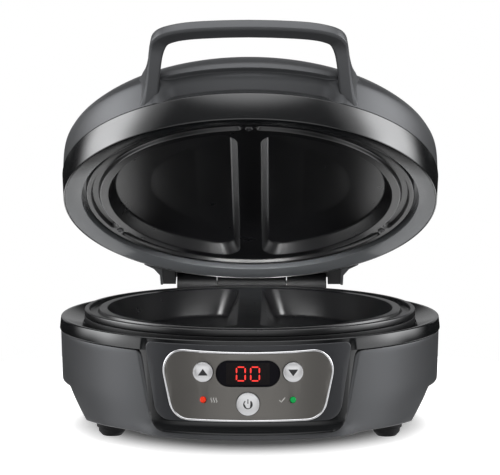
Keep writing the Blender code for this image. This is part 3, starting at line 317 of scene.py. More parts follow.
def cut_across(mesh, spot, along):
    bmesh.ops.bisect_plane(mesh, geom=mesh.verts[:] + mesh.edges[:] + mesh.faces[:],
                           plane_co=spot, plane_no=along, dist=1e-6)


def bent(mesh, proud=0, radius_at=None, levels=()):
    """Bends a flat plate round the drum; x is measured along the band."""
    r = drum().band_radius
    for level in levels:
        cut_across(mesh, (0, 0, level), (0, 0, 1))
    steps = int(max(abs(v.co.x) for v in mesh.verts) / BEND_STRIDE) + 1
    for k in range(-steps, steps + 1):
        cut_across(mesh, (k * BEND_STRIDE, 0, 0), (1, 0, 0))
    for vertex in mesh.verts:
        x, depth, z = vertex.co
        radius = radius_at(z) if radius_at else r + proud
        vertex.co = on_drum(radius - depth, x / r, z)
    return mesh


def dense(outline, stride):
    """Closed outline with extra points along its long sides."""
    points = []
    for k in range(len(outline)):
        a, b = Vector(outline[k - 1]), Vector(outline[k])
        steps = max(int((b - a).length / stride), 1)
        points += [tuple(a.lerp(b, n / steps)) for n in range(1, steps + 1)]
    return points


def through(points, steps):
    """Smooth curve through points of any dimension."""
    line = [Vector(p) for p in points]
    out = []
    for k in range(len(line) - 1):
        a, b, c, d = (line[min(max(k + n, 0), len(line) - 1)] for n in (-1, 0, 1, 2))
        for t in (n / steps for n in range(steps)):
            out.append(b * (2 - 5 * t * t + 3 * t ** 3) / 2 + a * (-t + 2 * t * t - t ** 3) / 2
                       + c * (t + 4 * t * t - 3 * t ** 3) / 2 + d * (t ** 3 - t * t) / 2)
    return out + [line[-1]]


def moved(mesh, quarter_turns, axis, place=(0, 0, 0)):
    """The mesh turned by quarters round an axis, then set down at its place."""
    turn = Matrix.Rotation(quarter_turns * math.pi / 2, 3, axis)
    bmesh.ops.rotate(mesh, cent=(0, 0, 0), matrix=turn, verts=mesh.verts)
    bmesh.ops.translate(mesh, vec=place, verts=mesh.verts)
    return mesh


def together(meshes):
    """Several bmeshes as one."""
    whole = bmesh.new()
    for part in meshes:
        data = bpy.data.meshes.new("joining")
        part.to_mesh(data)
        part.free()
        whole.from_mesh(data)
        bpy.data.meshes.remove(data)
    return whole


def in_scene(name, data):
    made = bpy.data.objects.new(name, data)
    bpy.context.scene.collection.objects.link(made)
    return made


def as_object(name, mesh):
    """Scene object with the bmesh's form; the bmesh is used up."""
    data = bpy.data.meshes.new(name)
    mesh.to_mesh(data)
    mesh.free()
    return in_scene(name, data)


def body_pose(body):
    """Where the drum's coordinates go in the row frame; the lid is drawn shut and stands open."""
    if body != "lid":
        return Matrix.Translation((0, AXIS_Y, 0))
    pivot = Matrix.Translation((0, AXIS_Y + HINGE_Y, HINGE_Z))
    turn = Matrix.Rotation(-lid().open_angle, 4, "X")
    return pivot @ turn @ Matrix.Translation((0, -HINGE_Y, -HINGE_Z))


def piece(name, mesh, look, body="base", nodes=(), sharp=38, pose=None, edges=0):
    """Turns a bmesh into a finished object at the origin that rides on its body."""
    bmesh.ops.remove_doubles(mesh, verts=mesh.verts, dist=2e-7)
    bmesh.ops.recalc_face_normals(mesh, faces=mesh.faces)
    mesh.transform(body_pose(body) if pose is None else pose)
    made = as_object(name, mesh)
    made.data.shade_smooth()
    made.data.set_sharp_from_angle(angle=sharp * DEG)
    made.data.materials.append(finish(look))
    if edges:
        bevel = made.modifiers.new("rounded edges", "BEVEL")
        bevel.width = edges
        bevel.segments = 3
        bevel.limit_method = "ANGLE"
        bevel.angle_limit = 40 * DEG
        bevel.use_clamp_overlap = True
        bevel.harden_normals = True
    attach(made, body)
    if nodes:
        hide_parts(*nodes)
    return made


def from_node(name, node, look, width, body="base"):
    """A CAD node taken over with its facets joined and its edges rounded."""
    mesh = bmesh.new()
    mesh.from_mesh(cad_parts[node].data)
    bmesh.ops.remove_doubles(mesh, verts=mesh.verts, dist=2e-6)
    bmesh.ops.dissolve_limit(mesh, angle_limit=1.2 * DEG, verts=mesh.verts, edges=mesh.edges)
    return piece(name, mesh, look, body, (node,), pose=Matrix.Identity(4), edges=width)


# Finishes: each reads Object coordinates, so the pattern stays with the piece

class Wiring:
    """Short-hand for a node tree."""

    def __init__(self, tree, prefix="ShaderNode"):
        self.tree = tree
        self.prefix = prefix

    def put(self, made, inputs):
        """Numbers go on the node's own sockets, and outputs of other nodes are linked to them."""
        for label, value in inputs.items():
            if isinstance(value, bpy.types.NodeSocket):
                self.tree.links.new(value, made.inputs[label])
            else:
                made.inputs[label].default_value = value
        return made.outputs

    def node(self, kind, inputs=(), **settings):
        made = self.tree.nodes.new(self.prefix + kind)
        for key, value in settings.items():
            setattr(made, key, value)
        return self.put(made, dict(inputs))

    def math(self, operation, *values):
        return self.node("Math", enumerate(values), operation=operation)[0]

    def spread(self, value, low, high, start=0, end=1, kind="LINEAR"):
        return self.node("MapRange", {"Value": value, "From Min": start, "From Max": end,
                                      "To Min": low, "To Max": high}, interpolation_type=kind)[0]

    def step(self, value, start, end):
        return self.spread(value, 0, 1, start, end, "SMOOTHSTEP")

    def window(self, value, low, high, soft):
        """One between low and high, easing to nothing over a soft edge on each side."""
        return self.math("MULTIPLY", self.step(value, low - soft, low),
                         self.step(value, high + soft, high))

    def mixed(self, share, first, second):
        return self.node("MixShader", {0: share, 1: first[0], 2: second[0]})

    def ramp(self, value, stops):
        colours = self.node("ValToRGB", {"Fac": value})["Color"]
        line = colours.node.color_ramp
        while len(line.elements) < len(stops):
            line.elements.new(0.5)
        for element, (place, tone) in zip(line.elements, stops):
            element.position = place
            element.color = (*tone, 1)
        return colours


class Look(Wiring):
    """A Principled material with its node tree at hand."""

    def __init__(self, name, inputs):
        self.made = bpy.data.materials.new(name)
        self.made.use_nodes = True
        super().__init__(self.made.node_tree)
        self.shader = self.tree.nodes["Principled BSDF"]
        self.place = self.node("TexCoord")["Object"]
        self.put(self.shader, inputs)

    def noise(self, scale, detail, rough=0.55, stretch=1):
        place = self.place
        if stretch != 1:
            place = self.node("Mapping", {"Vector": place, "Scale": (1, 1, stretch)})[0]
        return self.node("TexNoise", {"Vector": place, "Scale": scale, "Detail": detail,
                                      "Roughness": rough})["Fac"]

    def tint(self, value, tone, change, low=0.35, high=0.65):
        """Base colour that drifts a little darker and lighter."""
        stops = [(low, [c * (1 - change) for c in tone]),
                 (high, [min(c * (1 + change), 1) for c in tone])]
        self.put(self.shader, {"Base Color": self.ramp(value, stops)})


# A coat has its slot, a colour that is a tone or a name among the finishes above, how far the
# colour drifts, and the pattern it drifts in. A pattern is the scale, detail, roughness and
# stretch of its noise. rough is a number, or a pattern with its limits, bump a pattern with its
# depth and strength, clear the weight and roughness of a clear coat, and glow a pattern with its
# dimmed share and its strength.
Coat = namedtuple("Coat", "slot colour change patches rough metallic bump sheen clear glow",
                  defaults=(0, None, 0.5, (0, 0.03), None))
FLAKE = (2600, 2, 0.6)
FASCIA_GRAIN = (2200, 2, 0.6)
CAST_GRAIN = (1700, 3, 0.65)
PLASTIC_GRAIN = (2400, 2, 0.6)
RUBBER_GRAIN = (1500, 3, 0.7)
BRUSHED_PANEL = (60, 4, 0.6, 70)
BRUSHED_BUTTON = (420, 3, 0.6, 12)
WINDING = (30, 3, 0.5, 60)
CELL_SCALE = 120
# Where the painted light on the cone inside the mouth begins and ends to turn grey, along y: painted
# shade at the front, painted light towards the hinge
CONE_PAINTED_LIGHT_FADE = (-50 * MM, -26 * MM)
COATS = {
    "gunmetal_satin": Coat("gunmetal_plastic", "body", 0.05, (9, 2), (FLAKE, 0.36, 0.44), 0.6,
                           (FLAKE, 0.00002, 0.35)),
    "gloss_grey": Coat("gloss_dark_plastic", "gloss", 0.06, (12, 2), ((300, 2), 0.14, 0.18),
                       sheen=0.6),
    "band_gloss": Coat("gloss_dark_plastic", "gloss", 0.06, (12, 2), ((300, 2), 0.15, 0.2),
                       sheen=1),
    # The cone inside the mouth has painted shade at its front and painted light, a lighter grey,
    # towards the hinge
    "mouth_gloss_painted_light": Coat("gloss_dark_plastic", "mouth", 0, None, ((300, 2), 0.17, 0.23)),
    "fascia_satin": Coat("gloss_dark_plastic", "fascia", 0.06, (10, 2), (FASCIA_GRAIN, 0.32, 0.4),
                         0.15, (FASCIA_GRAIN, 0.00002, 0.3)),
    "non_stick": Coat("nonstick_aluminium", "plate", 0.25, CAST_GRAIN, ((60, 3), 0.25, 0.33),
                      bump=(CAST_GRAIN, 0.00003, 0.4), sheen=0.85),
    "panel_metal": Coat("panel_metal", "panel", 0.06, (14, 2), (BRUSHED_PANEL, 0.3, 0.4), 0.92,
                        (BRUSHED_PANEL, 0.00001, 0.12)),
    "dark_screw": Coat("steel", (0.07, 0.07, 0.073), 0.2, (420, 3), ((600, 2), 0.3, 0.44), 0.7),
    "bright_trim": Coat("bright_trim", (0.8, 0.8, 0.81), 0.03, (40, 2), ((400, 2), 0.11, 0.18), 1),
    "button_metal": Coat("steel", "metal", 0.04, (60, 2), (BRUSHED_BUTTON, 0.26, 0.35), 0.6,
                         (BRUSHED_BUTTON, 0.00001, 0.1), 0.7),
    "black_plastic": Coat("black_plastic", "black", 0.12, (25, 2), (PLASTIC_GRAIN, 0.4, 0.5),
                          bump=(PLASTIC_GRAIN, 0.00003, 0.4), sheen=0.25),
    "foot_rubber": Coat("rubber", (0.018, 0.018, 0.019), 0.3, RUBBER_GRAIN, 0.75,
                        bump=(RUBBER_GRAIN, 0.00005, 0.5), sheen=0.35),
    "display_glass": Coat("gloss_dark_plastic", (0.0035, 0.0032, 0.005), 0.2, (30, 2),
                          ((200, 2), 0.07, 0.1), sheen=0.07),
    "module_black": Coat("black_plastic", (0.007, 0.0055, 0.006), 0.15, (500, 2), 0.3,
                         sheen=0.1),
    "lit_segment": Coat("red_lens", "glow", 0.06, (900, 2), 0.4, glow=((700, 2), 0.85, None)),
    "red_lens": Coat("red_lens", (0.6, 0.025, 0.005), 0.08, (800, 2), 0.25, sheen=0.2,
                     clear=(0.15, 0.08), glow=((600, 2), 0.8, 0.5)),
    "green_lens": Coat("green_lens", (0.0, 0.3, 0.06), 0.08, (800, 2), 0.25, sheen=0.2,
                       clear=(0.15, 0.08), glow=((600, 2), 0.8, 0.25)),
    "print_dark": Coat("black_plastic", (0.018, 0.018, 0.02), 0.15, (900, 2), 0.5),
    "print_light": Coat("panel_metal", (0.55, 0.54, 0.52), 0.05, (900, 2), 0.5),
    "plain_steel": Coat("steel", (0.46, 0.46, 0.47), 0.08, (50, 3), ((350, 3), 0.24, 0.38), 1),
    "aluminised_sheet": Coat(None, (0.5, 0.51, 0.52), 0.1, None, ((160, 3), 0.32, 0.48), 1),
    "heater_sheath": Coat(None, (0.24, 0.21, 0.19), 0.3, (80, 4), ((200, 3), 0.4, 0.6), 0.9),
    "board_green": Coat(None, (0.015, 0.12, 0.05), 0.35, (220, 4, 0.7), 0.4,
                        clear=(0.3, 0.03)),
    "copper_coil": Coat(None, (0.45, 0.24, 0.08), 0.35, WINDING, 0.38, 0.7, (WINDING, 0.0002, 0.6)),
}


def paint_cone_shade_and_light(look, grey):
    """The cone inside the mouth is deep at the front and greyer towards the hinge: painted shade at
    the front, painted light at the rear.
    """
    back = look.node("SeparateXYZ", {"Vector": look.place})["Y"]
    along = look.spread(back, 0, 1, *CONE_PAINTED_LIGHT_FADE)
    deep = tuple(looks().gloss)
    half = [mix(a, b, 0.4) for a, b in zip(deep, grey)]
    look.put(look.shader, {"Base Color": look.ramp(along, [(0, deep), (0.5, half), (1, grey)]),
                           "Specular IOR Level": look.spread(along, 0.15, 0.6)})


def cellular(look, tone, change):
    cells = look.node("TexVoronoi", {"Vector": look.place, "Scale": CELL_SCALE})["Distance"]
    look.tint(cells, tone, change, 0, 0.8)


@cache
def finish(name):
    """The material of that coat, made when it is first asked for."""
    coat = COATS[name]
    tone = tuple(getattr(looks(), coat.colour)) if isinstance(coat.colour, str) else coat.colour
    look = Look(name, {"Metallic": coat.metallic, "Specular IOR Level": coat.sheen,
                       "Coat Weight": coat.clear[0], "Coat Roughness": coat.clear[1]})
    if coat.patches:
        look.tint(look.noise(*coat.patches), tone, coat.change)
    elif name == "mouth_gloss_painted_light":
        paint_cone_shade_and_light(look, tone)
    else:
        cellular(look, tone, coat.change)
    wanted = {"Roughness": coat.rough}
    if isinstance(coat.rough, tuple):
        pattern, low, high = coat.rough
        wanted["Roughness"] = look.spread(look.noise(*pattern), low, high)
    if coat.bump:
        pattern, depth, strength = coat.bump
        wanted["Normal"] = look.node("Bump", {"Height": look.noise(*pattern), "Distance": depth,
                                              "Strength": strength})[0]
    if coat.glow:
        pattern, dimmed, strength = coat.glow
        stops = [(0.3, [c * dimmed for c in tone]), (0.7, tone)]
        wanted["Emission Color"] = look.ramp(look.noise(*pattern), stops)
        wanted["Emission Strength"] = strength or looks().glow_strength
    look.put(look.shader, wanted)
    return look.made


# Base: housing, bezel, front

FOOT_RADIUS, FOOT_EDGE = 131.6 * MM, 16 * MM
WAIST_RADIUS, WAIST = 134.3 * MM, 34 * MM
NOTCH_LOW = 18.2 * MM
NOTCH_CORNER = 13 * MM
GRIP_TOP = 34.4 * MM
WALL = 3.2 * MM
PANEL_PROUD = 0.4 * MM
# Faces of the dark frame, and of the band where it turns in beside the frame
FRAME_RADIUS = 133.45 * MM
DRAWN_IN_RADIUS = 133.9 * MM
# The swell of the housing's foot under the control pod, and how far round it reaches
SWELL_OUT, SWELL_DROP = 2.6 * MM, 1.6 * MM
SWELL_HALF, SWELL_FADE = 38.5 * DEG, 11 * DEG
SIDE_CAP, START_CAP = 6.7 * MM, 7.8 * MM


def band_low():
    """Lower edge of the gloss band."""
    return drum().rim_height - drum().band_height


def wall_radius(height):
    """Outer radius of the housing at a height, its two bends drawn soft."""
    top = drum().band_radius - 0.8 * MM
    total = 0
    for k in range(-2, 3):
        z = height + 5 * MM * k / 2
        if z < WAIST:
            total += mix(FOOT_RADIUS, WAIST_RADIUS, (z - FOOT_EDGE) / (WAIST - FOOT_EDGE))
        else:
            total += mix(WAIST_RADIUS, top, min((z - WAIST) / (band_low() - WAIST), 1))
    return total / 5


def notch_sizes(grow=0):
    """Half widths at the top and the foot of the notch round the pod, and its lower edge."""
    return (front().fascia_top_half + 3.9 * MM + grow,
            front().fascia_bottom_half + 3.2 * MM + grow, NOTCH_LOW - grow)


def notch_path(top, reach):
    """Upper edge of the housing, unrolled: level, down round the notch and up again."""
    half_top, half_low, low = notch_sizes()
    flare = 6 * MM
    x = half_top + (half_top - half_low) / (top - low) * flare * 0.4
    return rounded([(-reach, top), (-x, top), (-half_low, low), (half_low, low), (x, top),
                    (reach, top)], [0, flare, NOTCH_CORNER, NOTCH_CORNER, flare, 0], 8,
                   closed=False)


def grip_path(reach, radius):
    """Lower edge of the housing, unrolled, arched up over the hand grip at each side."""
    low = HOUSING_LOW
    points, radii = [(-reach, low)], [0]
    for side in (-1, 1):
        for y, z, bend in ((68, low, 2), (46.5, GRIP_TOP, 8), (-46.5, GRIP_TOP, 8), (-68, low, 2)):
            angle = side * (math.pi / 2 + math.asin(-side * y * MM / radius))
            points.append((angle * radius, z))
            radii.append(bend * MM)
    return rounded(points + [(reach, low)], radii + [0], 6, closed=False)


def height_on(path, x):
    for (x0, z0), (x1, z1) in zip(path, path[1:]):
        if x0 <= x <= x1 and x1 > x0:
            return mix(z0, z1, (x - x0) / (x1 - x0))
    return path[-1][1]


def column_places(paths, reach):
    """Sorted places along the drum, close together where an edge is steep."""
    count = int(2 * reach / (3 * MM))
    places = {round(-reach + 2 * reach * k / count, 7) for k in range(count + 1)}
    for path in paths:
        for (x0, z0), (x1, z1) in zip(path, path[1:]):
            steps = max(int(abs(z1 - z0) / (1.6 * MM)), 1)
            places |= {round(mix(x0, x1, k / steps), 7) for k in range(steps + 1)}
    ordered = sorted(places)
    kept = ordered[:1]
    for x in ordered[1:]:
        if x - kept[-1] > 0.04 * MM:
            kept.append(x)
    return kept[:-1]


def edge_normals(points, side):
    """Directions from an edge into the sheet; side is -1 below the edge and 1 above it."""
    normals = []
    for k in range(len(points)):
        a = Vector(points[max(k - 1, 0)])
        b = Vector(points[min(k + 1, len(points) - 1)])
        along = (b - a).normalized()
        normals.append(Vector((-along.y, along.x)) * side)
    return normals


def housing_point(x, z, depth):
    """Point of the housing, whose foot swells out and drops a little under the control pod."""
    angle = x / drum().band_radius
    share = ease((SWELL_HALF - abs(angle)) / SWELL_FADE)
    out = SWELL_OUT * share * ease((22.5 * MM - z) / (7 * MM))
    drop = SWELL_DROP * share * ease((19 * MM - z) / (5 * MM))
    return on_drum(wall_radius(z) + out - depth, angle, z - drop)


def housing_mesh():
    reach = math.pi * drum().band_radius
    top = band_low() - 0.5 * MM
    edge = drum().edge_round
    paths = (notch_path(top, reach), grip_path(reach, drum().band_radius))
    places = column_places(paths, reach)
    over, under = ([(x, height_on(path, x)) for x in places] for path in paths)
    over_in, under_in = edge_normals(over, -1), edge_normals(under, 1)
    soft = [0.3 + 0.7 * ease((top - 0.3 * MM - z) / (3 * MM)) for x, z in over]
    soft = [s * drum().notch_round / edge for s in soft]
    even = [1] * len(places)

    def edge_row(line, inward, scales, inset, depth):
        return [housing_point(x + n.x * inset * s, z + n.y * inset * s, depth * s)
                for (x, z), n, s in zip(line, inward, scales)]

    rows = [edge_row(over, over_in, soft, inset, depth) for inset, depth in rounding(edge)[::-1]]
    for share in (k / 16 for k in range(1, 16)):
        rows.append([housing_point(mix(a[0] + m.x * edge * s, b[0] + n.x * edge, share),
                                   mix(a[1] + m.y * edge * s, b[1] + n.y * edge, share), 0)
                     for a, m, b, n, s in zip(over, over_in, under, under_in, soft)])
    rows += [edge_row(under, under_in, even, inset, depth) for inset, depth in rounding(edge)]
    rows.append(edge_row(under, under_in, even, 0, WALL))
    for share in (k / 5 for k in range(1, 5)):
        rows.append([housing_point(mix(b[0], a[0], share), mix(b[1], a[1], share), WALL)
                     for a, b in zip(over, under)])
    rows.append(edge_row(over, over_in, even, 0, WALL))
    return closed_rows(rows)


def bezel_angles():
    """Places round the bezel, close together where the band ends beside the pod."""
    fine = [side * (28 + 0.2 * k) * DEG for side in (-1, 1) for k in range(46)]
    coarse = [2 * DEG * k for k in range(-90, 90) if not 28 <= abs(2 * k) <= 37]
    return sorted({round(a, 6) for a in fine + coarse})


def bezel_mesh():
    """Rim, band and dished top; beside the pod the band turns in to the dark frame."""
    outer = drum().band_radius
    rim = drum().rim_height
    dish = rim - drum().dish_drop
    ledge, inner = 118.8 * MM, 113.3 * MM
    pod_half = (front().fascia_top_half - 2 * MM) / outer
    turn = 6 * MM / outer
    shelf = rim - 1.8 * MM
    path = rounded([(inner, dish - 1.2 * MM), (ledge, dish - 1.2 * MM), (ledge, dish),
                    (outer - 3.4 * MM, rim), (outer - 1 * MM, rim), (outer, band_low()),
                    (outer - 2.6 * MM, band_low()), (outer - 3.4 * MM, rim - 3.8 * MM),
                    (ledge + 2.6 * MM, dish - 3.8 * MM), (inner, dish - 3.8 * MM)],
                   mm(0, 0.3, 0.6, 2.4, 1.1, 0.6, 0.3, 0.4, 0, 0), 4)
    rows = []
    for angle in bezel_angles():
        share = ease((pod_half + turn - abs(angle)) / turn)
        shares = [share * ease((shelf - height) / (0.8 * MM)) for radius, height in path]
        rows.append([on_drum(mix(radius, min(radius, DRAWN_IN_RADIUS), drawn_in), angle, height)
                     for (radius, height), drawn_in in zip(path, shares)])
    return closed_rows(rows)


def pod_outline(grow, top, border):
    """Outline of the dark frame behind the fascia, wider than the notch, open behind the buttons."""
    half_top, half_low, low = notch_sizes(grow)
    corner = NOTCH_CORNER + grow
    return rounded([(-half_low, low), (half_low, low), (half_top, top), (half_top - border, top),
                    (half_low - border, low + border), (border - half_low, low + border),
                    (border - half_top, top), (-half_top, top)],
                   [corner, corner, 0, 0, 4 * MM, 4 * MM, 0, 0], 8)


def frame_mesh():
    """Recessed dark frame; its foot leans out to the lip of the housing."""
    top = band_low() + 0.6 * MM

    def radius_at(z):
        share = min(max((25.5 * MM - z) / (8.5 * MM), 0), 1)
        return FRAME_RADIUS + 3 * MM * share ** 1.7
    return bent(slab(pod_outline(2.2 * MM, top, 11.6 * MM), 1.6 * MM, 0.2 * MM),
                radius_at=radius_at, levels=mm(*(16.4 + k for k in range(11))))


def build_drum():
    piece("housing_shell", housing_mesh(), "gunmetal_satin", nodes=["lower_housing"], sharp=50)
    piece("bezel_and_frame", together((bezel_mesh(), frame_mesh())), "gloss_grey",
          nodes=["top_bezel"], sharp=42)


# Control front: outlines in x along the drum and height

def on_front(name, shapes, depth, edge, proud, look, node=None, holes=(), hole_edge=0):
    """Piece of slabs laid on the drum's front, their faces proud of the band."""
    flat = [slab(shape, depth * MM, edge * MM, holes, hole_edge * MM) for shape in shapes]
    piece(name, together([bent(part, proud) for part in flat]), look,
          nodes=[node] if node else ())


def circle(x, z, radius, steps=32):
    return [(x + radius * math.cos(turn), z + radius * math.sin(turn)) for turn in turns(steps)]


def oblong(half_wide, half_tall, middle, corner=0):
    corners = [(-half_wide, middle - half_tall), (half_wide, middle - half_tall),
               (half_wide, middle + half_tall), (-half_wide, middle + half_tall)]
    return rounded(corners, [corner] * 4, 10)


def window_outline(grow=0):
    half = (front().display_height + grow) / 2
    return oblong((front().display_width + grow) / 2, half, DISPLAY_Z, half * 0.98)


def fascia_outline():
    top, low = 77.2 * MM, 24.4 * MM
    wide, narrow = front().fascia_top_half, front().fascia_bottom_half
    return rounded([(-narrow, low), (narrow, low), (wide, top), (-wide, top)],
                   mm(12.5, 12.5, 4, 4), 10)


def panel_outline(grow=0):
    """Panel edge, wider at the top, its top line sagging in the middle."""
    peak, low, sag = 72.9 * MM + grow, 26.7 * MM - grow, 1.8 * MM
    wide = front().panel_top_half + grow
    narrow = front().panel_bottom_half + grow
    shares = (0.7, 0.5, 0.3, 0.1, -0.1, -0.3, -0.5, -0.7)
    top = [(wide * s, peak - sag * (1 - s * s)) for s in shares]
    corners = [(-narrow, low), (narrow, low), (wide, peak), *top, (-wide, peak)]
    bend = 13.5 * MM + grow
    return rounded(corners, [bend] * 3 + [0] * len(top) + [bend], 12)


def button_places():
    """Name, x, z, radius, proud rim and dome of each button."""
    proud = front().cap_height
    return (("up", -SIDE_X, SIDE_Z, SIDE_CAP, proud, 1.5 * MM),
            ("down", SIDE_X, SIDE_Z, SIDE_CAP, proud, 1.5 * MM),
            ("start", 0, START_Z, START_CAP, 0.9 * MM, 1.1 * MM))


def build_panel():
    on_front("control_fascia_shell", [fascia_outline()], 2, 0.7, 0, "fascia_satin",
             "control_fascia", [panel_outline(1.9 * MM)], 0.3)
    holes = [window_outline(0.5 * MM)]
    holes += [circle(x, z, radius + 0.35 * MM) for name, x, z, radius, *rest in button_places()]
    holes += [circle(side * SIDE_X, LIGHT_Z, 2.3 * MM, 24) for side in (-1, 1)]
    on_front("control_panel_plate", [panel_outline()], 1.2, 0.15, PANEL_PROUD, "panel_metal",
             "control_panel", holes, 0.25)
    radius = drum().band_radius + 0.1 * MM
    half, inner, back = front().trim_width / 2, 0.05 * MM, -0.6 * MM
    bead = [(half + inner + half * math.cos(k * math.pi / 8),
             0.15 * MM + 0.8 * MM * math.sin(k * math.pi / 8)) for k in range(9)]
    edge = dense(panel_outline(), 2 * MM)
    trim = closed_rows([[on_drum(radius + proud, x / radius, z) for x, z in offset(edge, -outwards)]
                        for outwards, proud in bead + [(inner, back), (2 * half + inner, back)]])
    piece("panel_frame", trim, "bright_trim", nodes=["panel_trim"])


def digit_bars(middle):
    """Six lit bars of a nought, as outlines."""
    tall = front().digit_height / 2
    wide = tall * 0.62
    thick, short = 0.68 * MM, 0.42 * MM
    flat, slim = thick * 0.62, 0.7
    half = wide - short
    lying = [(-half, 0), (-half + thick, -flat), (half - thick, -flat), (half, 0),
             (half - thick, flat), (-half + thick, flat)]
    half = tall / 2 - short
    upright = [(-thick, -half + thick), (0, -half), (thick, -half + thick), (thick, half - thick),
               (0, half), (-thick, half - thick)]
    upright = [(x * slim, z) for x, z in upright]
    bars = [(0, 1, lying), (0, -1, lying)]
    bars += [(across, up, upright) for up in (0.5, -0.5) for across in (-1, 1)]
    return [[(middle + across * wide + x, DISPLAY_Z + up * tall + z) for x, z in shape]
            for across, up, shape in bars]


def build_display():
    on_front("display_glass_plate", [window_outline()], 1.6, 0.35, 0.7 * MM, "display_glass",
             "display_window")
    field = oblong(14.6 * MM, 7.4 * MM, DISPLAY_Z)
    on_front("digit_field", [field], 0.1, 0.01, 0.74 * MM, "module_black")
    bars = digit_bars(-4.75 * MM) + digit_bars(4.75 * MM)
    on_front("lit_digits", bars, 0.12, 0.03, 0.84 * MM, "lit_segment")


# Buttons and lights

def face_at(x):
    """Where the panel's face lies, at a distance from the middle."""
    radius = drum().band_radius + PANEL_PROUD
    return -math.sqrt(radius * radius - x * x)


def along_front(profile, x, z, steps=48):
    """Solid of revolution set in the panel and facing forward; profile is (radius, outwards)."""
    return moved(revolved(profile, steps), 1, "X", (x, face_at(x), z))


def cap_height(reach, radius, proud, dome):
    """Height of a button's dome over the panel, at a reach from its middle."""
    return proud + dome * (1 - min(reach / radius, 1) ** 2.6)


def cap_profile(radius, proud, dome):
    path = [radius * math.sin(math.pi / 2 * k / 12) for k in range(12)]
    return [(r, cap_height(r, radius, proud, dome)) for r in path] + [
        (radius * 0.995, proud + 0.1 * MM), (radius, proud - 0.4 * MM), (radius, -3 * MM),
        (0, -3 * MM)]


def laid_on(outline, x, z, cap, cuts):
    """Thin printed sign laid on a button's dome."""
    mesh = bmesh.new()
    mesh.faces.new(rows_of(mesh, [[(px, 0, pz) for px, pz in outline]])[0])
    bmesh.ops.triangulate(mesh, faces=mesh.faces)
    for _ in range(cuts):
        bmesh.ops.subdivide_edges(mesh, edges=mesh.edges, cuts=1, use_grid_fill=True)
    for vertex in mesh.verts:
        px, _, pz = vertex.co
        height = cap_height(math.hypot(px, pz), *cap)
        vertex.co = (x + px, face_at(x) - height - 0.03 * MM, z + pz)
    whole = bmesh.ops.extrude_face_region(mesh, geom=mesh.faces[:])
    backs = [v for v in whole["geom"] if isinstance(v, bmesh.types.BMVert)]
    bmesh.ops.translate(mesh, vec=(0, 0.06 * MM, 0), verts=backs)
    return mesh


def arrow_head(up):
    arrow = rounded([(-3.4 * MM, -2.1 * MM * up), (3.4 * MM, -2.1 * MM * up), (0, 2.5 * MM * up)],
                    [0.25 * MM] * 3, 3)
    return arrow[::up]


def power_sign():
    """A ring open at its top, and the bar that stands in the gap."""
    half = 0.31 * MM
    angles = [mix(38, 322, k / 28) * DEG for k in range(29)]
    outer, inner = ([(reach * math.sin(a), reach * math.cos(a)) for a in angles]
                    for reach in (2.9 * MM + half, 2.9 * MM - half))
    bar = [(-half, 0.5 * MM), (half, 0.5 * MM), (half, 3.5 * MM), (-half, 3.5 * MM)]
    return [outer + inner[::-1], bar]


def build_buttons():
    for name, x, z, *cap in button_places():
        body = "button_" + name
        shape = along_front(cap_profile(*cap), x, z)
        piece("cap_" + name, shape, "button_metal", body, [body])
        signs, cuts = ([arrow_head(1 if x < 0 else -1)], 3) if x else (power_sign(), 1)
        laid = [laid_on(sign, x, z, cap, cuts) for sign in signs]
        piece("mark_" + name, together(laid), "print_dark", body)


def ribbon(path, wide):
    """Outline of a line of even width along an open path."""
    sides = []
    for k, point in enumerate(path):
        ahead = Vector(path[min(k + 1, len(path) - 1)]) - Vector(path[max(k - 1, 0)])
        ahead.normalize()
        side = Vector((-ahead.y, ahead.x)) * wide / 2
        sides.append((tuple(Vector(point) + side), tuple(Vector(point) - side)))
    left, right = zip(*sides)
    return right + left[::-1]


def build_lights():
    profile = mm((0, 0.75), (0.9, 0.68), (1.6, 0.42), (2, 0.05), (2.1, -0.3), (2.1, -5), (0, -5))
    for name, x, look in (("indicator_heating", -SIDE_X, "red_lens"),
                          ("indicator_ready", SIDE_X, "green_lens")):
        piece(name + "_lens", along_front(profile, x, LIGHT_Z, 32), look, nodes=[name])
    signs = []
    for k in (-1, 0, 1):
        middle = -SIDE_X + 7.4 * MM + k * 1.7 * MM
        signs.append(ribbon([(middle + 0.42 * MM * math.sin(t * 0.9),
                              LIGHT_Z + mix(-1.6, 1.6, t / 7) * MM) for t in range(8)], 0.5 * MM))
    signs.append(ribbon([(SIDE_X - x * MM, LIGHT_Z + z * MM)
                         for x, z in ((9.2, 0.1), (8, -1.3), (5.4, 1.7))], 0.6 * MM))
    on_front("printed_signs", signs, 0.08, 0.01, PANEL_PROUD + 0.04 * MM, "print_light")


# Cooking plates and their surrounds

def half_moon(inset, side):
    """Outline of one well, inset from its upper edge; its corners tighten with the inset."""
    radius = plate().plate_radius - plate().well_inset - inset
    corner = max(plate().well_corner - 0.45 * inset, 5 * MM)
    across = plate().divider_half + inset + corner
    up = math.sqrt((radius - corner) ** 2 - across ** 2)
    meet = math.atan2(up, across)
    bend = math.pi - meet

    def arc(x, y, reach, angles):
        return [(side * (x + reach * math.cos(a)), y + reach * math.sin(a)) for a in angles]

    return (arc(across, -up, corner, [-math.pi + bend * k / 12 for k in range(13)])
            + arc(0, 0, radius, [-meet + 2 * meet * k / 60 for k in range(1, 60)])
            + arc(across, up, corner, [meet + bend * k / 12 for k in range(13)]))


def well_path(upper):
    """Inset and depth of a well's wall and floor; the upper wells are shallower and dished."""
    if upper:
        return rounded(mm((-1.6, 0), (0, 0), (4.4, 8), (30, 11), (34, 11.2)),
                       mm(0, 0.9, 2.6, 30, 0), 8, closed=False)
    deep = plate().well_depth
    return rounded([(-1.6 * MM, 0), (0, 0), (9 * MM, deep), (22 * MM, deep)],
                   mm(0, 1, 3.6, 0), 7, closed=False)


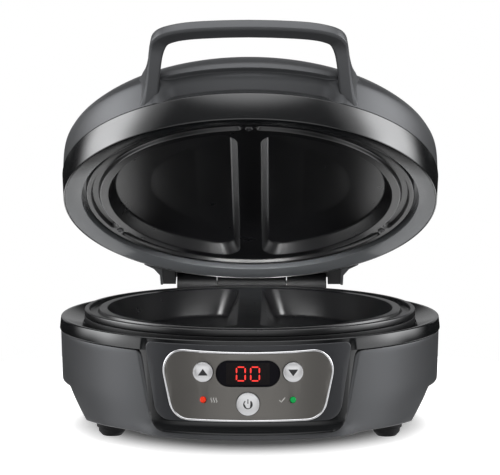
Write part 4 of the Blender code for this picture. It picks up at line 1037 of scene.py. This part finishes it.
def plate_mesh(path, level, steps, groove=None):
    """Cast plate: rings along a path of (radius, depth), two wells, then a plain underside."""
    mesh = bmesh.new()
    rows = []
    for radius, depth in path:
        sunk = [depth + (groove(radius, angle) if groove else 0) for angle in turns(steps)]
        rows.append([on_drum(radius, angle, level(d)) for angle, d in zip(turns(steps), sunk)])
    rows = rows_of(mesh, rows)
    skins(mesh, rows)
    edges = loop_edges(mesh, rows[-1])
    for side in (-1, 1):
        well = rows_of(mesh, [[(x, y, level(depth)) for x, y in half_moon(inset, side)]
                              for inset, depth in well_path(groove is not None)])
        skins(mesh, well)
        mesh.faces.new(well[-1])
        edges += loop_edges(mesh, well[0])
    bmesh.ops.triangle_fill(mesh, use_beauty=True, edges=edges)
    under = level(plate().well_depth + 2.6 * MM)
    back = rows_of(mesh, [ring(path[0][0] - 12 * MM, under, steps)])[0]
    skins(mesh, [back, rows[0]])
    mesh.faces.new(back)
    return mesh


def rim_path(inner_rings):
    """Outer rim of a plate as (radius, depth below its lip)."""
    r = plate().plate_radius
    corners = [(r - 3 * MM, 5.2 * MM), (r - 3 * MM, 4.5 * MM), (r, 4.5 * MM), (r, 0), *inner_rings]
    radii = mm(0, 0.2, 0.4, 1) + [0.8 * MM] * (len(inner_rings) - 1) + [0]
    return rounded(corners, radii, 4, closed=False)


def build_lower_plate():
    r = plate().plate_radius
    lip, sunk = r - 3.2 * MM, 2.8 * MM
    far = lip - plate().groove_width
    path = rim_path([(lip, 0), (lip - 1 * MM, sunk), (far + 1 * MM, sunk), (far, 0),
                     (far - 2.6 * MM, 0)])
    piece("lower_plate_cast", plate_mesh(path, lambda depth: PLATE_TOP - depth, 240), "non_stick",
          nodes=["lower_cooking_plate"], sharp=50)
    outer = r + 0.15 * MM
    low = drum().rim_height - drum().dish_drop - 0.9 * MM
    top, under = PLATE_TOP - 4.8 * MM, PLATE_TOP - 6 * MM
    profile = rounded([(outer, low), (outer, top), (outer - 3 * MM, top), (outer - 3 * MM, under),
                       (outer - 4.2 * MM, under), (outer - 4.2 * MM, low)],
                      mm(0.2, 0.7, 0, 0, 0, 0), 3)
    piece("collar_ring", revolved(profile, 240), "black_plastic", nodes=["plate_collar"])


ARC_DEPTH, ARC_HALF, ARC_SLOPE = 2.8 * MM, 3.4 * MM, 1.5 * MM


def arc_groove_depth(radius, angle):
    """Depth of the three arc grooves of the upper plate, round-ended between the bosses."""
    r = plate().plate_radius
    if radius >= r - 1.9 * MM:
        return 0
    middle, third, start = r - plate().boss_inset, 120 * DEG, 4.4 * DEG
    along = min(angle % third, third - angle % third)
    away = math.hypot(radius - middle, max(start - along, 0) * middle)
    return ARC_DEPTH * ease((ARC_HALF - away) / ARC_SLOPE)


def build_upper_plate():
    r = plate().plate_radius
    path = rim_path([(r - 1.8 * MM, 0)])
    path += [(mix(r - 2 * MM, r - 12.4 * MM, k / 26), 0) for k in range(27)]
    path += [(r - 13.2 * MM, 0)]
    mesh = plate_mesh(path, lambda depth: UPPER_LIP + depth, 480, arc_groove_depth)
    piece("upper_plate_cast", mesh, "non_stick", "lid", ["upper_cooking_plate"], sharp=50)


# Lid, its heights counted from the mouth

# Shares of the radius and of the rise, from the band up to the crown
DOME = ((0.997, 0.004), (0.9967, 0.04), (0.9963, 0.10), (0.9960, 0.18), (0.9945, 0.275),
        (0.990, 0.36), (0.980, 0.42), (0.960, 0.50), (0.910, 0.62), (0.850, 0.726),
        (0.767, 0.825), (0.605, 0.925), (0.36, 0.984), (0.12, 0.999))
RECESS_HALF = 54 * MM
RECESS_TOP = 18.8 * MM
RECESS_FADE = 12 * MM


def lid_radius():
    return drum().band_radius - 0.4 * MM


def recess_push(x, height):
    """How far the finger recess behind the handle pushes the shell in."""
    low = lid().band_height + 0.1 * MM
    high = lid().band_height + RECESS_TOP
    if not low < height < high + 1.5 * MM:
        return 0
    share = (height - low) / (high - low)
    under_brow = 1 - 0.55 * ease((share - 0.1) / 0.8)
    brow = ease((high + 1.4 * MM - height) / (1.6 * MM))
    aside = ease((RECESS_HALF + RECESS_FADE - abs(x)) / RECESS_FADE)
    return lid().recess_depth * ease(share / 0.02) * under_brow * brow * aside


def dome_line():
    """Radius and height of the dome from the band up, closer together at the recess."""
    r, rise, band = lid_radius(), lid().dome_rise, lid().band_height
    curve = through([(r * a, band + rise * h) for a, h in DOME], 6)
    line = []
    for a, b in zip(curve, curve[1:]):
        steps = 2 if a.y < band + 22 * MM else 1
        line += [tuple(a.lerp(b, k / steps)) for k in range(steps)]
    line.insert(1, (line[0][0], line[0][1] + 0.5 * MM))
    return line + [tuple(curve[-1])]


def shell_mesh():
    steps = 288
    start = MOUTH_HEIGHT + lid().band_height
    rows = [[Vector((0, 0, start + lid().dome_rise))]]
    for radius, height in reversed(dome_line()):
        pushes = [recess_push(radius * math.sin(angle), height) if math.cos(angle) > 0 else 0
                  for angle in turns(steps)]
        rows.append([on_drum(radius - push, angle, MOUTH_HEIGHT + height)
                     for push, angle in zip(pushes, turns(steps))])
    rows += [ring(lid_radius() - inset * MM, start + up * MM, steps)
             for inset, up in ((3, 0.3), (12.4, 12.3), (12, 28.3), (40, 42.3))]
    return closed_rows(rows + [[Vector((0, 0, start + 48.3 * MM))]], around=False)


def lid_ring(path, radii, steps):
    profile = rounded([(radius, MOUTH_HEIGHT + height) for radius, height in path], radii, steps)
    return revolved(profile, 288)


def build_lid():
    piece("lid_dome", shell_mesh(), "gunmetal_satin", "lid", ["lid_shell"], sharp=60)
    r, top = lid_radius(), lid().band_height
    mouth = r - 1.4 * MM
    band = [(mouth - 1.4 * MM, 1.4 * MM), (mouth - 0.9 * MM, 0), (mouth, 0), (r, top),
            (r - 2.6 * MM, top), (mouth - 2.6 * MM, 3.6 * MM)]
    piece("lid_gloss_band", lid_ring(band, mm(0, 0, 0.8, 0.8, 0, 0), 5), "band_gloss",
          "lid", ["lid_band"])
    outer, low = mouth - 1 * MM, 0.2 * MM
    inner, seat = plate().plate_radius + 2.8 * MM, plate().plate_radius - 2.7 * MM
    back = UPPER_LIP - MOUTH_HEIGHT + 4.8 * MM
    skirt = back + 2.2 * MM
    cone = [(outer, low), (inner, low + 2 * MM), (inner, back), (seat, back), (seat, skirt),
            (outer, skirt), (outer, back), (inner + 2.2 * MM, back),
            (inner + 2.2 * MM, low + 4.2 * MM), (outer, low + 2.2 * MM)]
    piece("lid_mouth_cone", lid_ring(cone, mm(0.5, 0.8, 0, 0, 0, 0, 0, 0, 0, 0), 4), "mouth_gloss_painted_light",
          "lid", ["lid_bezel"])


# Handle: a bar that runs in an arch from one side of the dome to the other

# Shares of the way out, back and down, from the middle of the grip to the root
HANDLE_LINE = ((0, 0, 0), (0.28, 0.006, 0.012), (0.553, 0.024, 0.044), (0.726, 0.063, 0.097),
               (0.826, 0.148, 0.149), (0.866, 0.296, 0.27), (0.889, 0.484, 0.504),
               (0.916, 0.709, 0.86), (0.948, 0.861, 1.06), (1.004, 1.02, 1.16), (1.06, 1.2, 1.42))
LEG_HALF_DEPTHS = mm(6.4, 5.2, 4.6, 5.2, 6.4, 7, 5.8)
LEG_HALF_HEIGHTS = mm(4.6, 5.8, 8.6, 13.2, 16, 11.6, 7.5)


def handle_stations():
    """Middle, half depth and half height of the handle, from the middle of the grip to the root."""
    r, band, grip = lid_radius(), lid().band_height, bpy.context.scene.maker_handle
    root_x = grip.corner_x + 11.6 * MM
    root_y = 3.5 * MM - math.sqrt((r - 7 * MM) ** 2 - root_x ** 2)
    front_y = -(r + 14.9 * MM) - grip.bow
    high = MOUTH_HEIGHT + band + 36.9 * MM + grip.bow
    drop = 21.8 * MM + grip.bow
    deep = [grip.half_depth] * 3 + [grip.half_depth * 0.98] + LEG_HALF_DEPTHS
    tall = [grip.half_height] * 4 + LEG_HALF_HEIGHTS
    return [(root_x * x, mix(front_y, root_y, y), high - drop * z, w, h)
            for (x, y, z), w, h in zip(HANDLE_LINE, deep, tall)]


def section(wide, tall):
    """Rounded oblong across the handle."""
    bend = min(wide, tall, 6 * MM) * 0.42
    return rounded([(-wide, -tall), (0.7 * wide, -tall), (wide, -0.78 * tall), (0.76 * wide, tall),
                    (-wide, tall)], [bend, bend * 0.4, bend * 0.6, bend * 1.4, bend * 1.4], 5)


def build_handle():
    right = through(handle_stations(), 6)
    left = [Vector((-s[0], *s[1:])) for s in reversed(right[1:])]
    line = left + right
    rows = []
    for k, here in enumerate(line):
        ahead = Vector(line[min(k + 1, len(line) - 1)][:2]) - Vector(line[max(k - 1, 0)][:2])
        side = Vector((ahead.y, -ahead.x, 0)).normalized()
        rows.append([Vector(here[:3]) + side * a + Vector((0, 0, b))
                     for a, b in section(here[3], here[4])])
    piece("lifting_handle", closed_rows(rows, around=False), "gunmetal_satin", "lid",
          ["lid_handle"], sharp=45)


# Hinge, liners, underside: CAD nodes taken over, and the turned pins

def build_hinge():
    from_node("hinge_rear_cover", "hinge_cover", "gunmetal_satin", 1.2 * MM, "lid")
    ears = from_node("hinge_ears", "lid_hinge_bracket", "black_plastic", 0.7 * MM, "lid")
    for spot in ears.data.vertices:
        if abs(spot.co.x) > 60.5 * MM:
            spot.co.x += math.copysign(1.4 * MM, spot.co.x)
    from_node("hinge_block", "base_hinge_block", "black_plastic", 0.7 * MM)
    for node in ("hinge_pin_left", "hinge_pin_right"):
        low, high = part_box(node)
        radius, edge = (high.z - low.z) / 2, 0.5 * MM
        profile = [(0, low.x), (radius - edge, low.x), (radius, low.x + edge),
                   (radius, high.x - edge), (radius - edge, high.x), (0, high.x)]
        pin = moved(revolved(profile, 48), 1, "Y", (0, HINGE_Y, HINGE_Z))
        piece(node + "_steel", pin, "plain_steel", nodes=[node])


def build_underside():
    for name, node, width in (("grip_pocket_left", "side_grip_liner_left", 0.5),
                              ("grip_pocket_right", "side_grip_liner_right", 0.5),
                              ("underside_cover", "bottom_cover", 0.6),
                              ("cord_gland", "cable_gland", 0.5)):
        from_node(name, node, "black_plastic", width * MM)


# Pieces that repeat: a Geometry Nodes tree sets one shape down at every place

def repeat_tree(name, grid):
    """Sets the object's own mesh down on each point of a grid or a circle."""
    tree = bpy.data.node_groups.new(name, "GeometryNodeTree")
    sizes = {"Width": "Float", "Depth": "Float"} if grid else {"Radius": "Float"}
    sockets = {"Geometry": "Geometry", **sizes, "Count": "Int", "Height": "Float",
               "Turn": "Float", "Finish": "Material"}
    for label, kind in sockets.items():
        tree.interface.new_socket(label, in_out="INPUT", socket_type="NodeSocket" + kind)
    tree.interface.new_socket("Geometry", in_out="OUTPUT", socket_type="NodeSocketGeometry")
    wire = Wiring(tree, "")
    come = wire.node("NodeGroupInput")
    if grid:
        points = wire.node("GeometryNodeMeshGrid", {
            "Size X": come["Width"], "Size Y": come["Depth"], "Vertices X": come["Count"],
            "Vertices Y": come["Count"]})
    else:
        points = wire.node("GeometryNodeMeshCircle", {"Vertices": come["Count"],
                                                      "Radius": come["Radius"]})
    lift = wire.node("ShaderNodeCombineXYZ", {"Z": come["Height"]})
    spin = wire.node("ShaderNodeCombineXYZ", {"Z": come["Turn"]})
    turned = wire.node("GeometryNodeTransform", {
        "Geometry": points["Mesh"], "Translation": lift[0], "Rotation": spin[0]})
    placed = wire.node("GeometryNodeInstanceOnPoints", {"Points": turned[0],
                                                        "Instance": come["Geometry"]})
    whole = wire.node("GeometryNodeRealizeInstances", {"Geometry": placed[0]})
    coated = wire.node("GeometryNodeSetMaterial", {"Geometry": whole[0],
                                                   "Material": come["Finish"]})
    wire.node("NodeGroupOutput", {"Geometry": coated[0]})
    return tree


def repeated(name, shape, tree, look, **inputs):
    """Plain bmesh of what the tree makes of one shape."""
    holder = as_object(name + "_holder", shape)
    nodes = holder.modifiers.new("repeat", "NODES")
    nodes.node_group = tree
    inputs["Finish"] = finish(look)
    for item in tree.interface.items_tree:
        if item.in_out == "INPUT" and item.name in inputs:
            nodes[item.identifier] = inputs[item.name]
    seen = holder.evaluated_get(bpy.context.evaluated_depsgraph_get())
    made = bpy.data.meshes.new_from_object(seen)
    holder.modifiers.remove(nodes)
    mesh = bmesh.new()
    mesh.from_mesh(made)
    if not mesh.verts:
        raise RuntimeError(name + ": the tree made nothing")
    bpy.data.meshes.remove(holder.data)
    bpy.data.meshes.remove(made)
    return mesh


def foot_shape():
    """Turned rubber foot with a waist and a soft pad."""
    path = mm((0, 0), (6.6, 0), (9.3, 3), (9.5, 5.6), (10.8, 6.4), (10.8, 13.9), (0, 13.9))
    return revolved(rounded(path, mm(0, 1, 1, 0.4, 0.8, 0.3, 0), 5), 72)


def build_feet():
    nodes = ["foot_" + a + "_" + b for a in ("front", "rear") for b in ("left", "right")]
    places = [middle_of(node) for node in nodes]
    mesh = repeated("feet", foot_shape(), repeat_tree("feet in a grid", True), "foot_rubber",
                    Width=max(p.x for p in places) - min(p.x for p in places),
                    Depth=max(p.y for p in places) - min(p.y for p in places),
                    Count=2, Height=0.0, Turn=0.0)
    piece("rubber_feet", mesh, "foot_rubber", nodes=nodes)


def screw_shape(radius, rise):
    """Pan head with a cross recess, its head pointing down and its seat at z 0."""
    steps, sink, lip = 48, 1.2 * MM, -0.1 * MM
    slim, long = radius * 0.13, radius * 0.62
    mesh = bmesh.new()
    shares = [k / 8 for k in range(8)]
    rows = [(0, -sink), (radius * 0.5, -sink), (radius * 0.5, lip), (radius, lip)]
    rows += [(radius * math.cos(s * 1.05), rise * math.sin(s * math.pi / 2) ** 0.8) for s in shares]
    made = rows_of(mesh, [ring(r, z, steps) for r, z in rows + [(radius * 0.72, rise)]])
    skins(mesh, made)
    cross = []
    for x, y in ((1, 1), (1, -1), (-1, -1), (-1, 1)):
        tip = [(x * long, y * slim), (x * slim, y * slim), (x * slim, y * long)]
        cross += tip[::-1] if x == y else tip
    upper, lower = rows_of(mesh, [[(x, y, rise) for x, y in cross[::-1]],
                                  [(x * 0.8, y * 0.8, rise * 0.25) for x, y in cross[::-1]]])
    skins(mesh, [upper, lower])
    mesh.faces.new(lower)
    bmesh.ops.triangle_fill(mesh, use_beauty=True,
                            edges=loop_edges(mesh, upper) + loop_edges(mesh, made[-1]))
    return moved(mesh, 2, "X")


def build_screws():
    tree = repeat_tree("screws in a circle", False)
    mesh = repeated("plate_screws", screw_shape(2.6 * MM, 1.1 * MM), tree, "dark_screw", Count=3,
                    Radius=plate().plate_radius - plate().boss_inset, Height=UPPER_LIP,
                    Turn=-math.pi / 2)
    piece("upper_plate_screws", mesh, "dark_screw", "lid")
    mesh = repeated("cover_screws", screw_shape(3 * MM, 1.2 * MM), tree, "plain_steel", Count=6,
                    Radius=92 * MM, Height=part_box("bottom_cover")[0].z, Turn=math.pi / 2)
    piece("underside_screws", mesh, "plain_steel")


# Finishes of the inner CAD nodes that are shown as they are

INNER = {
    "board_green": ("control_board", "power_board"),
    "copper_coil": ("transformer",),
    "black_plastic": ("relay", "switch_up", "switch_down", "switch_start", "digit_module",
                      "thermal_fuse"),
    "heater_sheath": ("lower_heating_element", "upper_heating_element"),
    "aluminised_sheet": ("lower_heat_shield", "upper_heat_shield", "lower_thermostat",
                         "upper_thermostat"),
}


def build_inside():
    for name, nodes in INNER.items():
        for node in nodes:
            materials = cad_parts[node].data.materials
            materials.clear()
            materials.append(finish(name))


# Stage, as in the photograph: white ground, soft light, a camera a little above the base

FOCUS = Vector((0, AXIS_Y, 60 * MM))
CAMERA_DISTANCE = 2.0956
CAMERA_RISE = 0.148
CAMERA_YAW = 0.55 * DEG
CAMERA = {"lens": 210.2, "sensor_width": 36, "shift_x": 0.0002, "shift_y": 0.2071,
          "clip_start": 0.05, "clip_end": 50}
WORLD_FILL = 0.38
WORLD_BELOW = 0.5
WORLD_DARK = 0.015
FLOOR_RADIUS = 0.34
# Floor glow: a faint glow everywhere, and a stronger one that fades in between two radii, so a painted
# contact shadow lies under the object
FLOOR_GLOW = 0.05
RIM_GLOW = 0.75
PAINTED_CONTACT_SHADOW = (0.092, 0.14)

# What reflections see: azimuth from the front and elevation in degrees, soft edges, level
SOFTBOXES = (
    ((71, 92), (-40, 4), (18, 18), 1.8),
    ((96, 113), (10, 28), (19, 19), 4.2),
    ((84, 100), (16, 44), (24, 24), 1.2),
    ((150, 180), (4, 14), (6, 6), 0.4),
    ((0, 180), (62, 90), (16, 16), 2.4),
    ((0, 60), (38, 62), (18, 14), 0.1),
    ((0, 12), (-16, 12), (40, 10), 0.85),
    ((0, 40), (14, 24), (20, 6), 0.7),
    ((130, 168), (-46, -24), (12, 10), 1.5),
    ((0, 50), (-60, -34), (12, 12), 0.9),
)

# Soft panels: place, target, size, power and other settings
CENTRE = (0, 0, 0.1)
OVERHEAD = (
    ("sky_panel", (0, -0.45, 1.7), CENTRE, 1.5, 17, {}),
    ("rear_panel", (0, 1.1, 1.3), CENTRE, 1.0, 7, {}),
)
# The same for the panels that stand at both sides, given for the right
SIDE_PANELS = (
    ("{}_panel", (0.9, -1.4, 0.7), CENTRE, 0.9, 5, {"tall": 1.2}),
    ("gap_{}", (0.055, 0.02, 0.125), (0.028, 0.082, 0.06), 0.04, 0.02, {"gloss": True, "spread": 80}),
    ("well_{}", (0.036, -0.035, 0.118), (0.031, 0.075, 0.118), 0.024, 0.014,
     {"gloss": True, "spread": 50}),
    ("card_{}", (0.112, 0.05, 0.098), (0.092, 0.078, 0.178), 0.06, 0.02,
     {"gloss": True, "tall": 0.12}),
)


def seen_rays(wire):
    """Camera rays, and one for camera, glossy and transmission rays."""
    path = wire.node("LightPath")
    seen = wire.math("MAXIMUM", path["Is Camera Ray"], path["Is Glossy Ray"])
    return path["Is Camera Ray"], wire.math("MAXIMUM", seen, path["Is Transmission Ray"])


def build_world():
    world = bpy.data.worlds.new("white surround")
    bpy.context.scene.world = world
    world.use_nodes = True
    world.node_tree.nodes.clear()
    wire = Wiring(world.node_tree)
    x, y, z = wire.node("SeparateXYZ", {"Vector": wire.node("TexCoord")["Generated"]})
    angle = wire.math("ARCTAN2", wire.math("ABSOLUTE", x), wire.math("MULTIPLY", y, -1.0))
    azimuth = wire.math("DEGREES", angle)
    rise = wire.math("DEGREES", wire.math("ARCSINE", z))
    level = WORLD_DARK
    for across, up, soft, power in SOFTBOXES:
        shape = wire.math("MULTIPLY", wire.window(azimuth, *across, soft[0]),
                          wire.window(rise, *up, soft[1]))
        level = wire.math("ADD", wire.math("MULTIPLY", shape, power), level)
    below = wire.math("MULTIPLY", wire.step(rise, 2, -12), WORLD_BELOW)
    white = wire.node("Background", {"Color": (1, 1, 1, 1)})
    studio = wire.node("Background", {"Color": (0.985, 0.99, 1, 1), "Strength": level})
    soft = wire.node("Background", {"Color": (1, 1, 1, 1),
                                    "Strength": wire.math("ADD", below, WORLD_FILL)})
    camera, seen = seen_rays(wire)
    surface = wire.mixed(seen, soft, wire.mixed(camera, studio, white))[0]
    wire.node("OutputWorld", {"Surface": surface})


def floor_finish():
    """Pale sheet that reads as white where it is lit, and keeps the object's shadow: the real one cast
    by the lamps, deepened near the object by a painted shadow in its glow.
    """
    made = bpy.data.materials.new("floor")
    made.use_nodes = True
    made.node_tree.nodes.clear()
    wire = Wiring(made.node_tree)
    base = wire.node("BsdfDiffuse", {"Color": (0.9, 0.9, 0.9, 1)})
    reach = wire.node("VectorMath", {0: wire.node("TexCoord")["Object"]}, operation="LENGTH")
    # Painted shadow: the glow stays faint close under the object and grows to full beyond it
    rim = wire.math("MULTIPLY", wire.step(reach["Value"], *PAINTED_CONTACT_SHADOW), RIM_GLOW)
    glow = wire.node("Emission", {"Strength": wire.math("ADD", rim, FLOOR_GLOW)})
    both = wire.node("AddShader", {0: base[0], 1: glow[0]})
    camera, seen = seen_rays(wire)
    surface = wire.mixed(seen, base, wire.mixed(camera, wire.node("BsdfTransparent"), both))[0]
    wire.node("OutputMaterial", {"Surface": surface})
    return made


def add_light(name, place, target, size, power, tall=None, gloss=False, spread=180):
    """Soft panel; reflections see the studio round it unless gloss is set."""
    data = bpy.data.lights.new(name, "AREA")
    data.energy = power
    data.shape = "RECTANGLE" if tall else "SQUARE"
    data.size = size
    data.spread = spread * DEG
    if tall:
        data.size_y = tall
    made = in_scene(name, data)
    made.location = place
    made.rotation_euler = (Vector(target) - Vector(place)).to_track_quat("-Z", "Y").to_euler()
    made.visible_glossy = gloss
    made.visible_camera = False
    return made


def build_stage():
    mesh = revolved([(0, -2 * MM), (FLOOR_RADIUS, -2 * MM), (FLOOR_RADIUS, 0), (0, 0)], 96)
    bmesh.ops.recalc_face_normals(mesh, faces=mesh.faces)
    floor = as_object("floor", mesh)
    floor.data.materials.append(floor_finish())
    lights = [add_light(*row, **options) for *row, options in OVERHEAD]
    for name, place, target, *strength, options in SIDE_PANELS:
        for side, word in ((-1, "left"), (1, "right")):
            ends = [(side * x, y, z) for x, y, z in (place, target)]
            lights.append(add_light(name.format(word), *ends, *strength, **options))
    build_world()
    data = bpy.data.cameras.new("product camera")
    for setting, value in CAMERA.items():
        setattr(data, setting, value)
    camera = in_scene("product camera", data)
    camera.matrix_world = (Matrix.Translation(FOCUS) @ Matrix.Rotation(CAMERA_YAW, 4, "Z")
                           @ Matrix.Rotation(math.pi / 2 - CAMERA_RISE, 4, "X")
                           @ Matrix.Translation((0, 0, CAMERA_DISTANCE)))
    bpy.context.scene.camera = camera
    bpy.context.scene.view_settings.view_transform = "Standard"


# Operators

def finished(*names):
    """Raises an error when a piece of that name is missing."""
    missing = [name for name in names if name not in bpy.data.objects]
    if missing:
        raise RuntimeError("not built: " + ", ".join(missing))
    return {"FINISHED"}


class MAKER_OT_base(bpy.types.Operator):
    """Build the housing, the bezel and its dark frame"""
    bl_idname = "maker.base"
    bl_label = "Base"

    def execute(self, context):
        build_drum()
        return finished("housing_shell", "bezel_and_frame")


class MAKER_OT_front(bpy.types.Operator):
    """Build the fascia, the panel, its frame and the display"""
    bl_idname = "maker.front"
    bl_label = "Control front"

    def execute(self, context):
        build_panel()
        build_display()
        return finished("control_fascia_shell", "control_panel_plate", "panel_frame", "lit_digits")


class MAKER_OT_buttons(bpy.types.Operator):
    """Build the three buttons with their signs, and the two lights"""
    bl_idname = "maker.buttons"
    bl_label = "Buttons and lights"

    def execute(self, context):
        build_buttons()
        build_lights()
        return finished("cap_up", "cap_down", "cap_start", "printed_signs")


class MAKER_OT_plates(bpy.types.Operator):
    """Build the two cooking plates and the collar"""
    bl_idname = "maker.plates"
    bl_label = "Cooking plates"

    def execute(self, context):
        build_lower_plate()
        build_upper_plate()
        return finished("lower_plate_cast", "upper_plate_cast", "collar_ring")


class MAKER_OT_lid(bpy.types.Operator):
    """Build the dome, its gloss band and the cone inside the mouth"""
    bl_idname = "maker.lid"
    bl_label = "Lid"

    def execute(self, context):
        build_lid()
        return finished("lid_dome", "lid_gloss_band", "lid_mouth_cone")


class MAKER_OT_handle(bpy.types.Operator):
    """Build the arched lifting handle"""
    bl_idname = "maker.handle"
    bl_label = "Handle"

    def execute(self, context):
        build_handle()
        return finished("lifting_handle")


class MAKER_OT_hinge(bpy.types.Operator):
    """Build the hinge pieces, the liners, the cover and the gland"""
    bl_idname = "maker.hinge"
    bl_label = "Hinge and underside"

    def execute(self, context):
        build_hinge()
        build_underside()
        return finished("hinge_rear_cover", "hinge_block", "hinge_pin_left_steel", "underside_cover")


class MAKER_OT_repeats(bpy.types.Operator):
    """Set down the feet and the screws with Geometry Nodes"""
    bl_idname = "maker.repeats"
    bl_label = "Feet and screws"

    def execute(self, context):
        build_feet()
        build_screws()
        return finished("rubber_feet", "upper_plate_screws", "underside_screws")


class MAKER_OT_inside(bpy.types.Operator):
    """Give the inner parts their finishes"""
    bl_idname = "maker.inside"
    bl_label = "Inner parts"

    def execute(self, context):
        build_inside()
        return finished()


class MAKER_OT_stage(bpy.types.Operator):
    """Build the floor, the lights and the camera"""
    bl_idname = "maker.stage"
    bl_label = "Stage"

    def execute(self, context):
        build_stage()
        return finished("floor", "product camera")


OPERATORS = (MAKER_OT_base, MAKER_OT_front, MAKER_OT_buttons, MAKER_OT_plates, MAKER_OT_lid,
             MAKER_OT_handle, MAKER_OT_hinge, MAKER_OT_repeats, MAKER_OT_inside, MAKER_OT_stage)


class MAKER_PT_panel(bpy.types.Panel):
    """Sizes, finishes and the steps of the build"""
    bl_idname = "MAKER_PT_panel"
    bl_label = "Omelette maker"
    bl_space_type = "VIEW_3D"
    bl_region_type = "UI"
    bl_category = "Omelette"

    def draw(self, context):
        for operator in OPERATORS:
            self.layout.operator(operator.bl_idname)
        for name, group in GROUPS.items():
            box = self.layout.box()
            for label in group.__annotations__:
                box.prop(getattr(context.scene, name), label)


def register():
    for name, group in GROUPS.items():
        bpy.utils.register_class(group)
        setattr(bpy.types.Scene, name, PointerProperty(type=group))
    for made in (*OPERATORS, MAKER_PT_panel):
        bpy.utils.register_class(made)


def unregister():
    for made in (MAKER_PT_panel, *reversed(OPERATORS)):
        bpy.utils.unregister_class(made)
    for name, group in reversed(GROUPS.items()):
        delattr(bpy.types.Scene, name)
        bpy.utils.unregister_class(group)


def main():
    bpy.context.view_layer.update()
    register()
    for operator in OPERATORS:
        getattr(bpy.ops.maker, operator.bl_idname.split(".")[1])()


if __name__ == "__main__":
    main()
